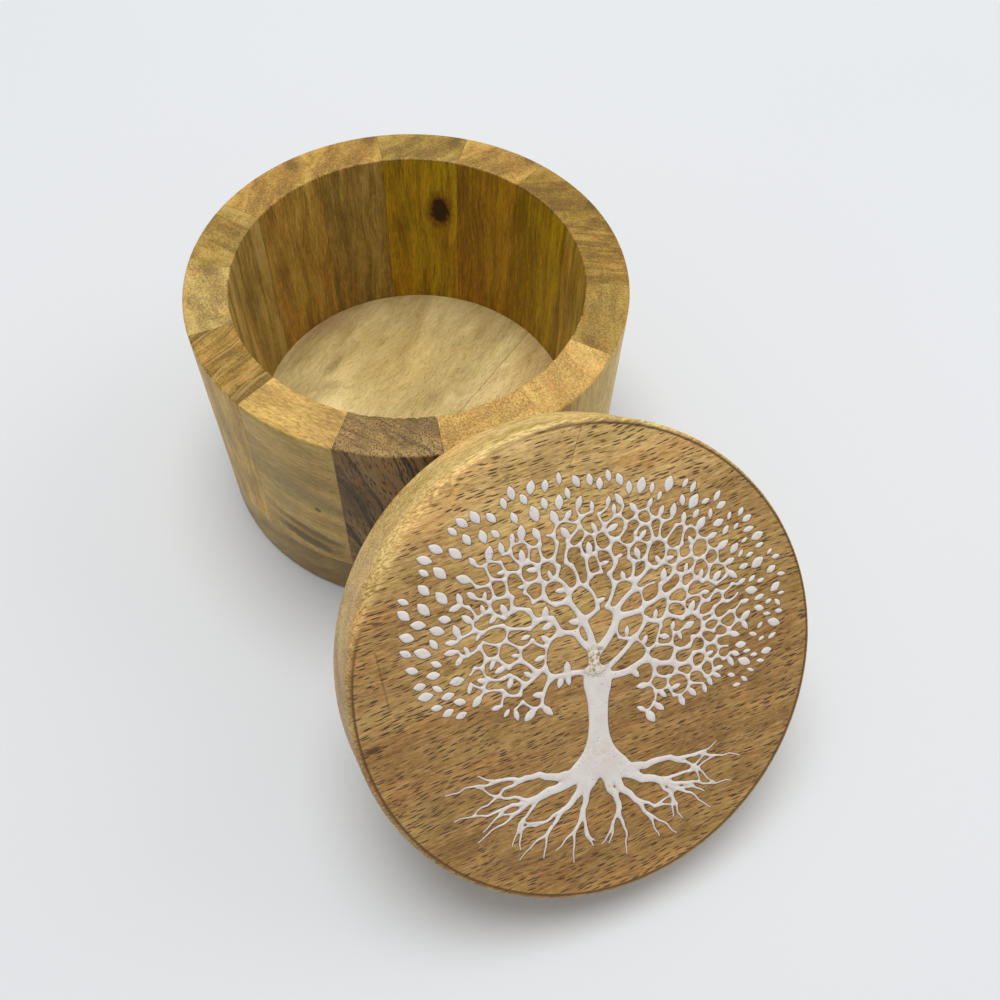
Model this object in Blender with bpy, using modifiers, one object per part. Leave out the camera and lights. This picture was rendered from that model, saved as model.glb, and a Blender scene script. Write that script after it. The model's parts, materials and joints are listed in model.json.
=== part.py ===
"""Round keepsake box of glued wooden staves, with its loose lid leaning on its front.

Blender 4.5, metres, +Z up. The origin is the centre of the underside, on the axis of the box.
The lid stands on the same surface as the box and leans towards +Y onto the box's wall.
Run with: blender --background --python part.py
"""
import math
import random

import bmesh
import bpy
from mathutils import Vector

# Box body
BOX_RADIUS = 0.050
BOX_HEIGHT = 0.061
WALL = 0.010
BASE_THICKNESS = 0.014
RIM_OUTER_ROUND = 0.0010
RIM_INNER_ROUND = 0.0006
BASE_EDGE_ROUND = 0.0010
FLOOR_SEAM_OFFSET = 0.0105      # from the axis to the glued seam of the two base boards
FLOOR_SEAM_ANGLE = 32.5         # direction of that seam, in degrees from +X

# Staves: the arc of each in degrees, anticlockwise from the first joint, and its wood
FIRST_JOINT_ANGLE = 178.2
STAVES = (
    (26.0, "amber"), (26.5, "golden"), (26.0, "walnut"), (26.5, "golden"), (26.0, "straw"),
    (25.0, "umber"), (27.0, "moss"), (26.0, "umber"), (24.0, "tan"), (26.5, "tan"),
    (23.5, "golden"), (28.0, "amber"), (24.0, "moss"), (25.0, "straw"),
)

# Lid
LID_INSET = 0.002               # how much smaller the lid is than the box, all round
LID_THICKNESS = 0.017
LID_TOP_ROUND = 0.0010
LID_BOTTOM_ROUND = 0.0025
PLUG_DEPTH = 0.008
PLUG_PLAY = 0.00075             # room all round between the plug and the inside of the wall
PLUG_EDGE_ROUND = 0.0006
LEAN_BELOW_RIM = 0.0064         # from the rim down to where the leaning plug touches the wall
LEAN_GAP = 0.0003               # between the leaning plug and the wall that it touches

# Clearance between pieces that are glued or laid against each other
GLUE_GAP = 0.0003

# Carved and filled tree, in the plane of the lid's face. Its places and reaches are shares of
# the carving's reach, and its widths are those of the carver's bits.
CARVING_MARGIN = 0.005          # plain wood left at the edge of the lid
TREE_TURN = math.radians(-17.0)  # the tree's own up direction, turned from straight up the lid
INLAY_SINK = 0.0003             # from the lid's face down to the top of the filling
INLAY_THICKNESS = 0.0012
CROWN_CENTRE = (0.035, 0.233)
CROWN_REACH = (0.942, 0.651)
FORK = (0.014, -0.047)          # where the boughs part
FOOT = (0.035, -0.488)          # where the roots part
TRUNK_WIDTH = 0.0046
# Places down the trunk, from the fork to the foot, and how wide it is there
TRUNK_SHAPE = ((-0.10, 1.0), (0.06, 1.45), (0.22, 1.06), (0.5, 1.0), (0.72, 1.25),
               (0.88, 2.0), (1.0, 3.3), (1.06, 3.0))
# Direction of each bough from the middle of the crown, and how high on the fork it starts
BOUGHS = ((202, -1.2), (180, -0.4), (156, 0.4), (130, 1.0), (106, 1.4),
          (82, 1.4), (56, 1.0), (30, 0.4), (4, -0.4), (-20, -1.2))
BOUGH_WIDTH = 0.0024
BOUGH_SHARE = 0.66              # how far the boughs reach, as a share of the crown
BOUGH_LIFT = 0.16               # how much a bough arches, as a share of its length
BOUGH_STEPS = 5
TWIG_WIDTH = 0.0009
TWIG_LENGTH = 0.0042
TWIG_ANGLE = 48.0
ROOTS = (184, 200, 218, 238, 260, 282, 304, 323, 340, 356)
ROOT_WIDTH = 0.0022
ROOT_REACH = (0.733, 0.453)
ROOT_SWAY = 0.10
ROOT_FORK_ANGLE = 26.0
LEAF_LENGTH = 0.0030
LEAF_WIDTH = 0.0018
LEAF_SPACING = 0.0016           # wood left between two leaves
LEAF_ARC = (-32.0, 212.0)       # the arc of the crown that bears loose leaves
LEAF_BAND = (0.80, 0.98)        # how far out they lie, as shares of the crown
LEAF_SWAY = 28.0                # how far a leaf may turn from pointing away from the fork
LEAF_COUNT = 36                 # the largest leaves; the small ones between them are left out
LEAF_TRIES = 4000

# Facets
TURN_STEPS = 72                 # round the whole box or lid
STAVE_STEPS = 5
ROUND_STEPS = 2
MERGE = 0.00001

# Wood and filling: colour and roughness
FINISHES = {
    "amber": ((0.46, 0.27, 0.09), 0.55),
    "golden": ((0.55, 0.38, 0.16), 0.55),
    "straw": ((0.56, 0.42, 0.20), 0.55),
    "tan": ((0.47, 0.31, 0.13), 0.55),
    "umber": ((0.30, 0.20, 0.10), 0.58),
    "walnut": ((0.20, 0.14, 0.09), 0.60),
    "moss": ((0.42, 0.33, 0.11), 0.55),
    "floor": ((0.52, 0.38, 0.19), 0.55),
    "lid": ((0.40, 0.26, 0.12), 0.55),
    "plug": ((0.45, 0.31, 0.15), 0.60),
    "filling": ((0.86, 0.80, 0.79), 0.45),
}


def clear_scene():
    """Remove whatever the file opened with."""
    for obj in list(bpy.data.objects):
        bpy.data.objects.remove(obj, do_unlink=True)


def new_collection(name):
    """Make a collection in the scene."""
    collection = bpy.data.collections.new(name)
    bpy.context.scene.collection.children.link(collection)
    return collection


def finish(name):
    """Return the Principled material of one wood or filling."""
    if name in bpy.data.materials:
        return bpy.data.materials[name]
    colour, roughness = FINISHES[name]
    material = bpy.data.materials.new(name)
    material.use_nodes = True
    shader = material.node_tree.nodes["Principled BSDF"]
    shader.inputs["Base Color"].default_value = (*colour, 1.0)
    shader.inputs["Roughness"].default_value = roughness
    shader.inputs["Metallic"].default_value = 0.0
    material.diffuse_color = (*colour, 1.0)
    return material


def add_object(name, mesh, collection, wood=None):
    """Put a mesh in the scene as an object, with its finish."""
    obj = bpy.data.objects.new(name, mesh)
    collection.objects.link(obj)
    if wood:
        obj.data.materials.append(finish(wood))
    return obj


def as_guide(obj):
    """Show a cutter as wires, and keep it out of the model."""
    obj.hide_render = True
    obj.display_type = "WIRE"
    return obj


def shade_round(obj):
    """Smooth the round faces and keep the corners sharp."""
    obj.data.shade_smooth()
    obj.data.set_sharp_from_angle(angle=math.radians(30))


def rounded(corner, radius, start, end):
    """Points of a rounded corner of a profile, from one direction to another, in degrees."""
    centre_x, centre_z = corner
    points = []
    for step in range(ROUND_STEPS + 1):
        angle = math.radians(start + (end - start) * step / ROUND_STEPS)
        points.append((centre_x + radius * math.cos(angle), centre_z + radius * math.sin(angle)))
    return points


def turned(name, profile, collection, wood):
    """Turn a profile about Z: it runs from the axis, down the outer side and back to the axis."""
    mesh = bpy.data.meshes.new(name)
    vertices = [(x, 0.0, z) for x, z in profile]
    edges = [(i, i + 1) for i in range(len(profile) - 1)]
    mesh.from_pydata(vertices, edges, [])
    obj = add_object(name, mesh, collection, wood)
    screw = obj.modifiers.new("turn", "SCREW")
    screw.axis = "Z"
    screw.steps = TURN_STEPS
    screw.render_steps = TURN_STEPS
    screw.use_smooth_shade = True
    screw.use_merge_vertices = True
    screw.merge_threshold = MERGE
    return obj


def make_stave(name, middle, arc, wood, collection):
    """Make one stave: its section carried round its arc, less half a glue line on each side."""
    inner = BOX_RADIUS - WALL
    foot = BASE_THICKNESS + GLUE_GAP
    inner_corner = (inner + RIM_INNER_ROUND, BOX_HEIGHT - RIM_INNER_ROUND)
    outer_corner = (BOX_RADIUS - RIM_OUTER_ROUND, BOX_HEIGHT - RIM_OUTER_ROUND)
    section = [(BOX_RADIUS, foot)]
    section += rounded(outer_corner, RIM_OUTER_ROUND, 0, 90)
    section += rounded(inner_corner, RIM_INNER_ROUND, 90, 180)
    section.append((inner, foot))
    span = arc - GLUE_GAP / (BOX_RADIUS - WALL / 2)
    turn = span / 2
    frame = bmesh.new()
    corners = []
    for x, z in section:
        corners.append(frame.verts.new((x * math.cos(turn), -x * math.sin(turn), z)))
    face = frame.faces.new(corners)
    bmesh.ops.spin(
        frame, geom=[face, *face.edges, *face.verts], cent=(0, 0, 0), axis=(0, 0, 1),
        angle=span, steps=STAVE_STEPS, use_duplicate=False)
    bmesh.ops.recalc_face_normals(frame, faces=frame.faces)
    mesh = bpy.data.meshes.new(name)
    frame.to_mesh(mesh)
    frame.free()
    stave = add_object(name, mesh, collection, wood)
    stave.rotation_euler.z = middle
    shade_round(stave)
    return stave


def make_stave_ring(collection):
    """Make the ring of staves, their arcs shared out over the full turn."""
    whole = sum(arc for arc, _ in STAVES)
    start = math.radians(FIRST_JOINT_ANGLE)
    for number, (share, wood) in enumerate(STAVES, 1):
        arc = share / whole * math.tau
        make_stave(f"stave_{number:02d}", start + arc / 2, arc, wood, collection)
        start += arc


def make_base_board(name, side, collection, cutters):
    """Make one board of the base: the turned disc, cut off along the glued seam.

    side is 1 for the board beyond the seam and -1 for the one before it.
    """
    profile = [(0.0, BASE_THICKNESS), (BOX_RADIUS, BASE_THICKNESS)]
    profile += rounded((BOX_RADIUS - BASE_EDGE_ROUND, BASE_EDGE_ROUND), BASE_EDGE_ROUND, 0, -90)
    profile.append((0.0, 0.0))
    board = turned(name, profile, collection, "floor")
    width = 2.5 * BOX_RADIUS
    angle = math.radians(FLOOR_SEAM_ANGLE)
    across = Vector((-math.sin(angle), math.cos(angle), 0.0))
    reach = -FLOOR_SEAM_OFFSET - side * (width - GLUE_GAP) / 2
    bpy.ops.mesh.primitive_cube_add(size=1.0)
    cutter = as_guide(bpy.context.active_object)
    cutter.name = name + "_cutter"
    cutter.data.transform(((width, 0, 0, 0), (0, width, 0, 0), (0, 0, width, 0), (0, 0, 0, 1)))
    cutter.location = across * reach
    cutter.rotation_euler.z = angle
    for owner in list(cutter.users_collection):
        owner.objects.unlink(cutter)
    cutters.objects.link(cutter)
    cut = board.modifiers.new("seam", "BOOLEAN")
    cut.operation = "DIFFERENCE"
    cut.object = cutter
    return board


def lid_radius():
    """Radius of the lid."""
    return BOX_RADIUS - LID_INSET


def plug_radius():
    """Radius of the plug, which drops inside the wall."""
    return BOX_RADIUS - WALL - PLUG_PLAY


def lid_lean():
    """Angle at which the lid leans: its plug's upper edge is at the wall, and a lower edge on Z = 0.

    Of the plug's lower edge and the lid's own, the one that meets the table first carries it. The
    way from the middle of that rounding to the middle of the upper one goes up the lid by `run`
    and back behind it by `drop`, so run * sin(lean) - drop * cos(lean) is the rise between them.
    """
    up = plug_radius() - PLUG_EDGE_ROUND
    leans = []
    for reach, radius, drop in ((up, PLUG_EDGE_ROUND, 0.0),
                                (lid_radius() - LID_BOTTOM_ROUND, LID_BOTTOM_ROUND,
                                 LID_BOTTOM_ROUND + PLUG_DEPTH - PLUG_EDGE_ROUND)):
        run = reach + up
        rise = BOX_HEIGHT - LEAN_BELOW_RIM - radius
        leans.append(math.atan2(drop, run) + math.asin(rise / math.hypot(run, drop)))
    return min(leans)


def make_lid_frame(collection):
    """Place the empty that carries the lid: the middle of its underside, turned as it leans.

    It is found from the middle of the rounding of the plug's upper edge, which is at the wall:
    down the lid by `up`, and forward out of it by `back`.
    """
    lean = lid_lean()
    up = plug_radius() - PLUG_EDGE_ROUND
    back = PLUG_DEPTH - PLUG_EDGE_ROUND
    height = BOX_HEIGHT - LEAN_BELOW_RIM - up * math.sin(lean) + back * math.cos(lean)
    reach = up * math.cos(lean) + back * math.sin(lean)
    distance = BOX_RADIUS + LEAN_GAP + PLUG_EDGE_ROUND + reach
    frame = bpy.data.objects.new("lid_frame", None)
    frame.empty_display_size = lid_radius() / 2
    frame.location = (0.0, -distance, height)
    frame.rotation_euler.x = lean
    collection.objects.link(frame)
    return frame


def carving_place(shares):
    """Place on the carving, from its shares of the carving's reach."""
    return Vector(shares) * (lid_radius() - CARVING_MARGIN)


def ellipse_point(centre, reach, angle, share=1.0):
    """Point of an ellipse on the carving, in a direction in degrees, at a share of its reach."""
    turn = math.radians(angle)
    out = carving_place(reach) * share
    return carving_place(centre) + Vector((out.x * math.cos(turn), out.y * math.sin(turn)))


def bend(start, middle, end, steps):
    """Points along the quadratic curve that leaves start for middle and arrives at end."""
    points = []
    for step in range(steps + 1):
        t = step / steps
        points.append(start * (1 - t) ** 2 + middle * 2 * t * (1 - t) + end * t ** 2)
    return points


def ribbon(path, widths, grow):
    """Closed outline of a strip along a path, with a width at each point, grown on all sides."""
    left = []
    right = []
    last = len(path) - 1
    for i, point in enumerate(path):
        along = (path[min(i + 1, last)] - path[max(i - 1, 0)]).normalized()
        across = Vector((-along.y, along.x))
        if i == 0:
            point = point - along * grow
        if i == last:
            point = point + along * grow
        half = widths[i] / 2 + grow
        left.append(point + across * half)
        right.append(point - across * half)
    return right + left[::-1]


def trunk_strip():
    """Path and widths of the trunk, which flares at the fork and at the foot."""
    fork = carving_place(FORK)
    foot = carving_place(FOOT)
    path = [fork.lerp(foot, share) for share, _ in TRUNK_SHAPE]
    return path, [TRUNK_WIDTH * wide for _, wide in TRUNK_SHAPE]


def tapered(path, width, tip):
    """Pair a path with widths that run evenly from width to tip."""
    last = len(path) - 1
    return path, [width + (tip - width) * i / last for i in range(last + 1)]


def turned_by(direction, angle):
    """Turn a flat direction by an angle in degrees."""
    turn = math.radians(angle)
    return Vector((direction.x * math.cos(turn) - direction.y * math.sin(turn),
                   direction.x * math.sin(turn) + direction.y * math.cos(turn)))


def grow_boughs():
    """Return the strips of the boughs and twigs, and the leaves that grow at their tips."""
    strips = []
    tips = []
    for number, (angle, rise) in enumerate(BOUGHS):
        end = ellipse_point(CROWN_CENTRE, CROWN_REACH, angle, BOUGH_SHARE)
        start = carving_place(FORK) + Vector((0.0, rise * BOUGH_WIDTH))
        lift = (end - start).length * BOUGH_LIFT
        path = bend(start, start.lerp(end, 0.5) + Vector((0.0, lift)), end, BOUGH_STEPS)
        strips.append(tapered(path, BOUGH_WIDTH, TWIG_WIDTH))
        tips.append((end, (path[-1] - path[-2]).normalized()))
        side = 1 if number % 2 else -1
        for place in range(2, BOUGH_STEPS):
            along = (path[place + 1] - path[place]).normalized()
            direction = turned_by(along, side * TWIG_ANGLE)
            twig_end = path[place] + direction * TWIG_LENGTH
            middle = path[place].lerp(twig_end, 0.5) + along * TWIG_WIDTH
            twig = bend(path[place], middle, twig_end, 2)
            strips.append(tapered(twig, TWIG_WIDTH * 1.4, TWIG_WIDTH))
            tips.append((twig_end, direction))
            side = -side
    leaves = []
    for end, direction in tips:
        leaves.append((end + direction * LEAF_LENGTH * 0.4, direction, LEAF_LENGTH, LEAF_WIDTH))
    return strips, leaves


def grow_roots():
    """Return the strips of the roots, each with one fork, spread below the foot of the trunk."""
    strips = []
    foot = carving_place(FOOT)
    for number, angle in enumerate(ROOTS):
        end = ellipse_point(FOOT, ROOT_REACH, angle)
        out = math.cos(math.radians(angle))
        start = foot + Vector((out * TRUNK_WIDTH, -TRUNK_WIDTH / 4))
        sway = ROOT_SWAY if number % 2 else -ROOT_SWAY
        side = Vector((start.y - end.y, end.x - start.x)) * sway
        path = bend(start, start.lerp(end, 0.5) + side, end, BOUGH_STEPS)
        strips.append(tapered(path, ROOT_WIDTH, TWIG_WIDTH))
        along = end - path[2]
        fork_end = path[2] + turned_by(along, -math.copysign(ROOT_FORK_ANGLE, sway)) * 0.75
        fork = bend(path[2], path[2].lerp(fork_end, 0.5) + side * 0.4, fork_end, 2)
        strips.append(tapered(fork, ROOT_WIDTH * 0.7, TWIG_WIDTH))
    return strips


def tree_outlines(grow):
    """Outlines of the trunk, boughs, twigs, tip leaves and roots, grown on all sides."""
    boughs, leaves = grow_boughs()
    outlines = []
    for path, widths in [trunk_strip(), *boughs, *grow_roots()]:
        outlines.append(ribbon(path, widths, grow))
    for leaf in leaves:
        outlines.append(leaf_outline(leaf, grow))
    return outlines


def loose_leaves():
    """Centre, direction, length and width of each loose leaf.

    Leaves are tried at random places in the outer ring of the crown, each pointing roughly away
    from the fork, and one is kept where it stays clear of those before it.
    """
    chance = random.Random(11)
    leaves = []
    for _ in range(LEAF_TRIES):
        angle = chance.uniform(*LEAF_ARC)
        share = math.sqrt(chance.uniform(LEAF_BAND[0] ** 2, LEAF_BAND[1] ** 2))
        size = chance.uniform(0.78, 1.18)
        sway = chance.uniform(-LEAF_SWAY, LEAF_SWAY)
        centre = ellipse_point(CROWN_CENTRE, CROWN_REACH, angle, share)
        along = turned_by((centre - carving_place(FORK)).normalized(), sway)
        if all(leaves_clear(centre, along, size, other) for other in leaves):
            leaves.append((centre, along, LEAF_LENGTH * size, LEAF_WIDTH * size))
        if len(leaves) == LEAF_COUNT:
            break
    return leaves


def leaves_clear(centre, along, size, other):
    """Say whether a new leaf keeps its spacing from one that is already there."""
    apart = other[0] - centre
    for direction in (along, other[1]):
        length = (LEAF_LENGTH * size + other[2]) / 2 + LEAF_SPACING
        width = (LEAF_WIDTH * size + other[3]) / 2 + LEAF_SPACING
        down = apart.dot(direction) / length
        over = (apart - direction * apart.dot(direction)).length / width
        if down * down + over * over < 1.0:
            return False
    return True


def leaf_outline(leaf, grow):
    """Almond outline of a leaf: its half width is one minus the square of the place along it."""
    centre, along, length, width = leaf
    across = Vector((-along.y, along.x))
    half = length / 2 + 1.6 * grow
    side = width / 2 + 1.1 * grow
    outline = []
    for place, sign in ((-1.0, 0), (-0.4, -1), (0.45, -1), (1.0, 0), (0.45, 1), (-0.4, 1)):
        bulge = sign * side * (1 - place * place) * 1.1
        outline.append(centre + along * half * place + across * bulge)
    return outline


def flat_mesh(name, outline, thickness, middle, collection, wood=None):
    """Extrude a flat outline to a thickness about a height, and weld it into a closed solid."""
    curve = bpy.data.curves.new(name, "CURVE")
    curve.dimensions = "2D"
    curve.fill_mode = "BOTH"
    curve.extrude = thickness / 2
    spline = curve.splines.new("POLY")
    spline.points.add(len(outline) - 1)
    for point, place in zip(spline.points, outline):
        point.co = (place.x, place.y, 0.0, 1.0)
    spline.use_cyclic_u = True
    source = bpy.data.objects.new(name + "_curve", curve)
    bpy.context.scene.collection.objects.link(source)
    graph = bpy.context.evaluated_depsgraph_get()
    mesh = bpy.data.meshes.new_from_object(source.evaluated_get(graph))
    bpy.data.objects.remove(source, do_unlink=True)
    bpy.data.curves.remove(curve)
    weld = bmesh.new()
    weld.from_mesh(mesh)
    bmesh.ops.remove_doubles(weld, verts=weld.verts, dist=MERGE)
    bmesh.ops.translate(weld, verts=weld.verts, vec=(0.0, 0.0, middle))
    bmesh.ops.recalc_face_normals(weld, faces=weld.faces)
    weld.to_mesh(mesh)
    weld.free()
    mesh.name = name
    mesh.materials.clear()
    return add_object(name, mesh, collection, wood)


def make_lid(collection, cutters):
    """Make the lid: its board, its plug and the filled carving, carried by one leaning frame."""
    frame = make_lid_frame(collection)
    top = LID_THICKNESS
    upper = (lid_radius() - LID_TOP_ROUND, top - LID_TOP_ROUND)
    lower = (lid_radius() - LID_BOTTOM_ROUND, LID_BOTTOM_ROUND)
    profile = [(0.0, top)]
    profile += rounded(upper, LID_TOP_ROUND, 90, 0)
    profile += rounded(lower, LID_BOTTOM_ROUND, 0, -90)
    profile.append((0.0, 0.0))
    board = turned("lid_board", profile, collection, "lid")
    board.parent = frame

    plug_edge = (plug_radius() - PLUG_EDGE_ROUND, PLUG_EDGE_ROUND - PLUG_DEPTH)
    profile = [(0.0, -GLUE_GAP), (plug_radius(), -GLUE_GAP)]
    profile += rounded(plug_edge, PLUG_EDGE_ROUND, 0, -90)
    profile.append((0.0, -PLUG_DEPTH))
    turned("lid_plug", profile, collection, "plug").parent = frame

    fill_middle = top - INLAY_SINK - INLAY_THICKNESS / 2
    pocket_height = 2 * (INLAY_SINK + INLAY_THICKNESS + GLUE_GAP)
    fillings = new_collection("filling strips")
    pockets = new_collection("pockets")

    def lay(piece):
        """Lay a flat piece on the lid, turned as the tree is."""
        piece.parent = frame
        piece.rotation_euler.z = TREE_TURN
        return piece

    trunk, *limbs = tree_outlines(0.0)
    tree = lay(flat_mesh("tree_inlay", trunk, INLAY_THICKNESS, fill_middle, collection, "filling"))
    for limb in limbs:
        lay(as_guide(flat_mesh("limb", limb, INLAY_THICKNESS, fill_middle, fillings)))
    for outline in tree_outlines(GLUE_GAP):
        lay(as_guide(flat_mesh("limb_pocket", outline, pocket_height, top, pockets)))
    join = tree.modifiers.new("grow together", "BOOLEAN")
    join.operation = "UNION"
    join.operand_type = "COLLECTION"
    join.collection = fillings
    for number, leaf in enumerate(loose_leaves(), 1):
        outline = leaf_outline(leaf, 0.0)
        lay(flat_mesh(f"leaf_{number:02d}", outline, INLAY_THICKNESS, fill_middle,
                      collection, "filling"))
        pocket = leaf_outline(leaf, GLUE_GAP)
        lay(as_guide(flat_mesh("leaf_pocket", pocket, pocket_height, top, pockets)))
    carve = board.modifiers.new("carve", "BOOLEAN")
    carve.operation = "DIFFERENCE"
    carve.operand_type = "COLLECTION"
    carve.collection = pockets
    for group in (fillings, pockets):
        bpy.context.scene.collection.children.unlink(group)
        cutters.children.link(group)


def main():
    """Build the box and its lid."""
    clear_scene()
    parts = new_collection("round keepsake box")
    cutters = new_collection("cutters")
    make_stave_ring(parts)
    make_base_board("base_board_back", 1, parts, cutters)
    make_base_board("base_board_front", -1, parts, cutters)
    make_lid(parts, cutters)
    bpy.context.view_layer.update()


main()
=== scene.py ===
"""Dressed model of a round keepsake box of glued wooden staves, its lid leaning on its front.

Blender 4.5, metres, +Z up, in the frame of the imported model. The ring of staves and the base are
turned about Z; the lid is turned about its own axis and stands in the lid's frame. The carving
is worked out flat, in millimetres, as a signed distance on a grid, and its outlines become the
pockets in the lid and the white filling that lies in them.
"""
import heapq
import json
import logging
import math
import random
from collections.abc import Sequence
from dataclasses import dataclass, field
from enum import Enum

import bpy
import numpy as np
from mathutils import Matrix, Vector
from mathutils.geometry import delaunay_2d_cdt


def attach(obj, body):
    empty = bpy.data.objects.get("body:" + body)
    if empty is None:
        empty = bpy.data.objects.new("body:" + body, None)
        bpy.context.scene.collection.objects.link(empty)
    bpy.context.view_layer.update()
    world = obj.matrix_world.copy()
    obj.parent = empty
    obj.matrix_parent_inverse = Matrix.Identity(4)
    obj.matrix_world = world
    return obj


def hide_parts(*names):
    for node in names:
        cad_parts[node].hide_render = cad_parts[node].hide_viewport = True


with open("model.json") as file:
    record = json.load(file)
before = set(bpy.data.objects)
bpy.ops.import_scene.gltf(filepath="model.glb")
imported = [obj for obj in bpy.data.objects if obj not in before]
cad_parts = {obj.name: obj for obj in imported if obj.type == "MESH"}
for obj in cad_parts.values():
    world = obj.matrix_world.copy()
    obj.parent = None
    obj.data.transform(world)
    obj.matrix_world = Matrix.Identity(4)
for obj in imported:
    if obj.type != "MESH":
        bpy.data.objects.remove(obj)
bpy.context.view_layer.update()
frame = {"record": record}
log = logging.getLogger("keepsake_box")

MM = 0.001
LIGHT_GRAIN = 1.22                      # the light grain, by a wood's mean tone
DEEP_GRAIN = (0.70, 0.66, 0.56)         # the deep grain, by the same
INNER_TINT = (0.9, 0.75, 0.4)           # inner side of a stave that names no tone for it
BAND_LEAN = 0.35                        # how far the lid's growth bands lean up its face
Array = np.ndarray
Socket = bpy.types.NodeSocket
Triple = tuple[float, float, float]     # place, size or turn, by axis
Colour = tuple[float, float, float]
Number = "Wire | float"


# Shader graphs


class Wire:
    """Number socket that takes part in Python arithmetic; each operation adds a Math node."""

    def __init__(self, graph: "Graph", socket: Socket) -> None:
        """Keep the graph and the output socket that the number comes from."""
        self.graph = graph
        self.socket = socket

    def __add__(self, other: Number) -> "Wire":
        """Sum of two numbers."""
        return self.graph.maths("ADD", self, other)

    def __sub__(self, other: Number) -> "Wire":
        """Difference of two numbers."""
        return self.graph.maths("SUBTRACT", self, other)

    def __rsub__(self, other: Number) -> "Wire":
        """Difference with the wire on the right."""
        return self.graph.maths("SUBTRACT", other, self)

    def __mul__(self, other: Number) -> "Wire":
        """Product of two numbers."""
        return self.graph.maths("MULTIPLY", self, other)

    def __truediv__(self, other: Number) -> "Wire":
        """Quotient of two numbers."""
        return self.graph.maths("DIVIDE", self, other)

    __radd__ = __add__
    __rmul__ = __mul__

    def rises(self, low: float, high: float) -> "Wire":
        """Smooth step, which falls where low is above high.

        Args:
            low: Number up to which it is 0.
            high: Number from which it is 1.

        Returns:
            The step.
        """
        if low > high:
            return 1 - self.rises(high, low)
        node = self.graph.node(
            "ShaderNodeMapRange", {"interpolation_type": "SMOOTHSTEP"},
            {"Value": self, "From Min": low, "From Max": high})
        return Wire(self.graph, node.outputs["Result"])


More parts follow.
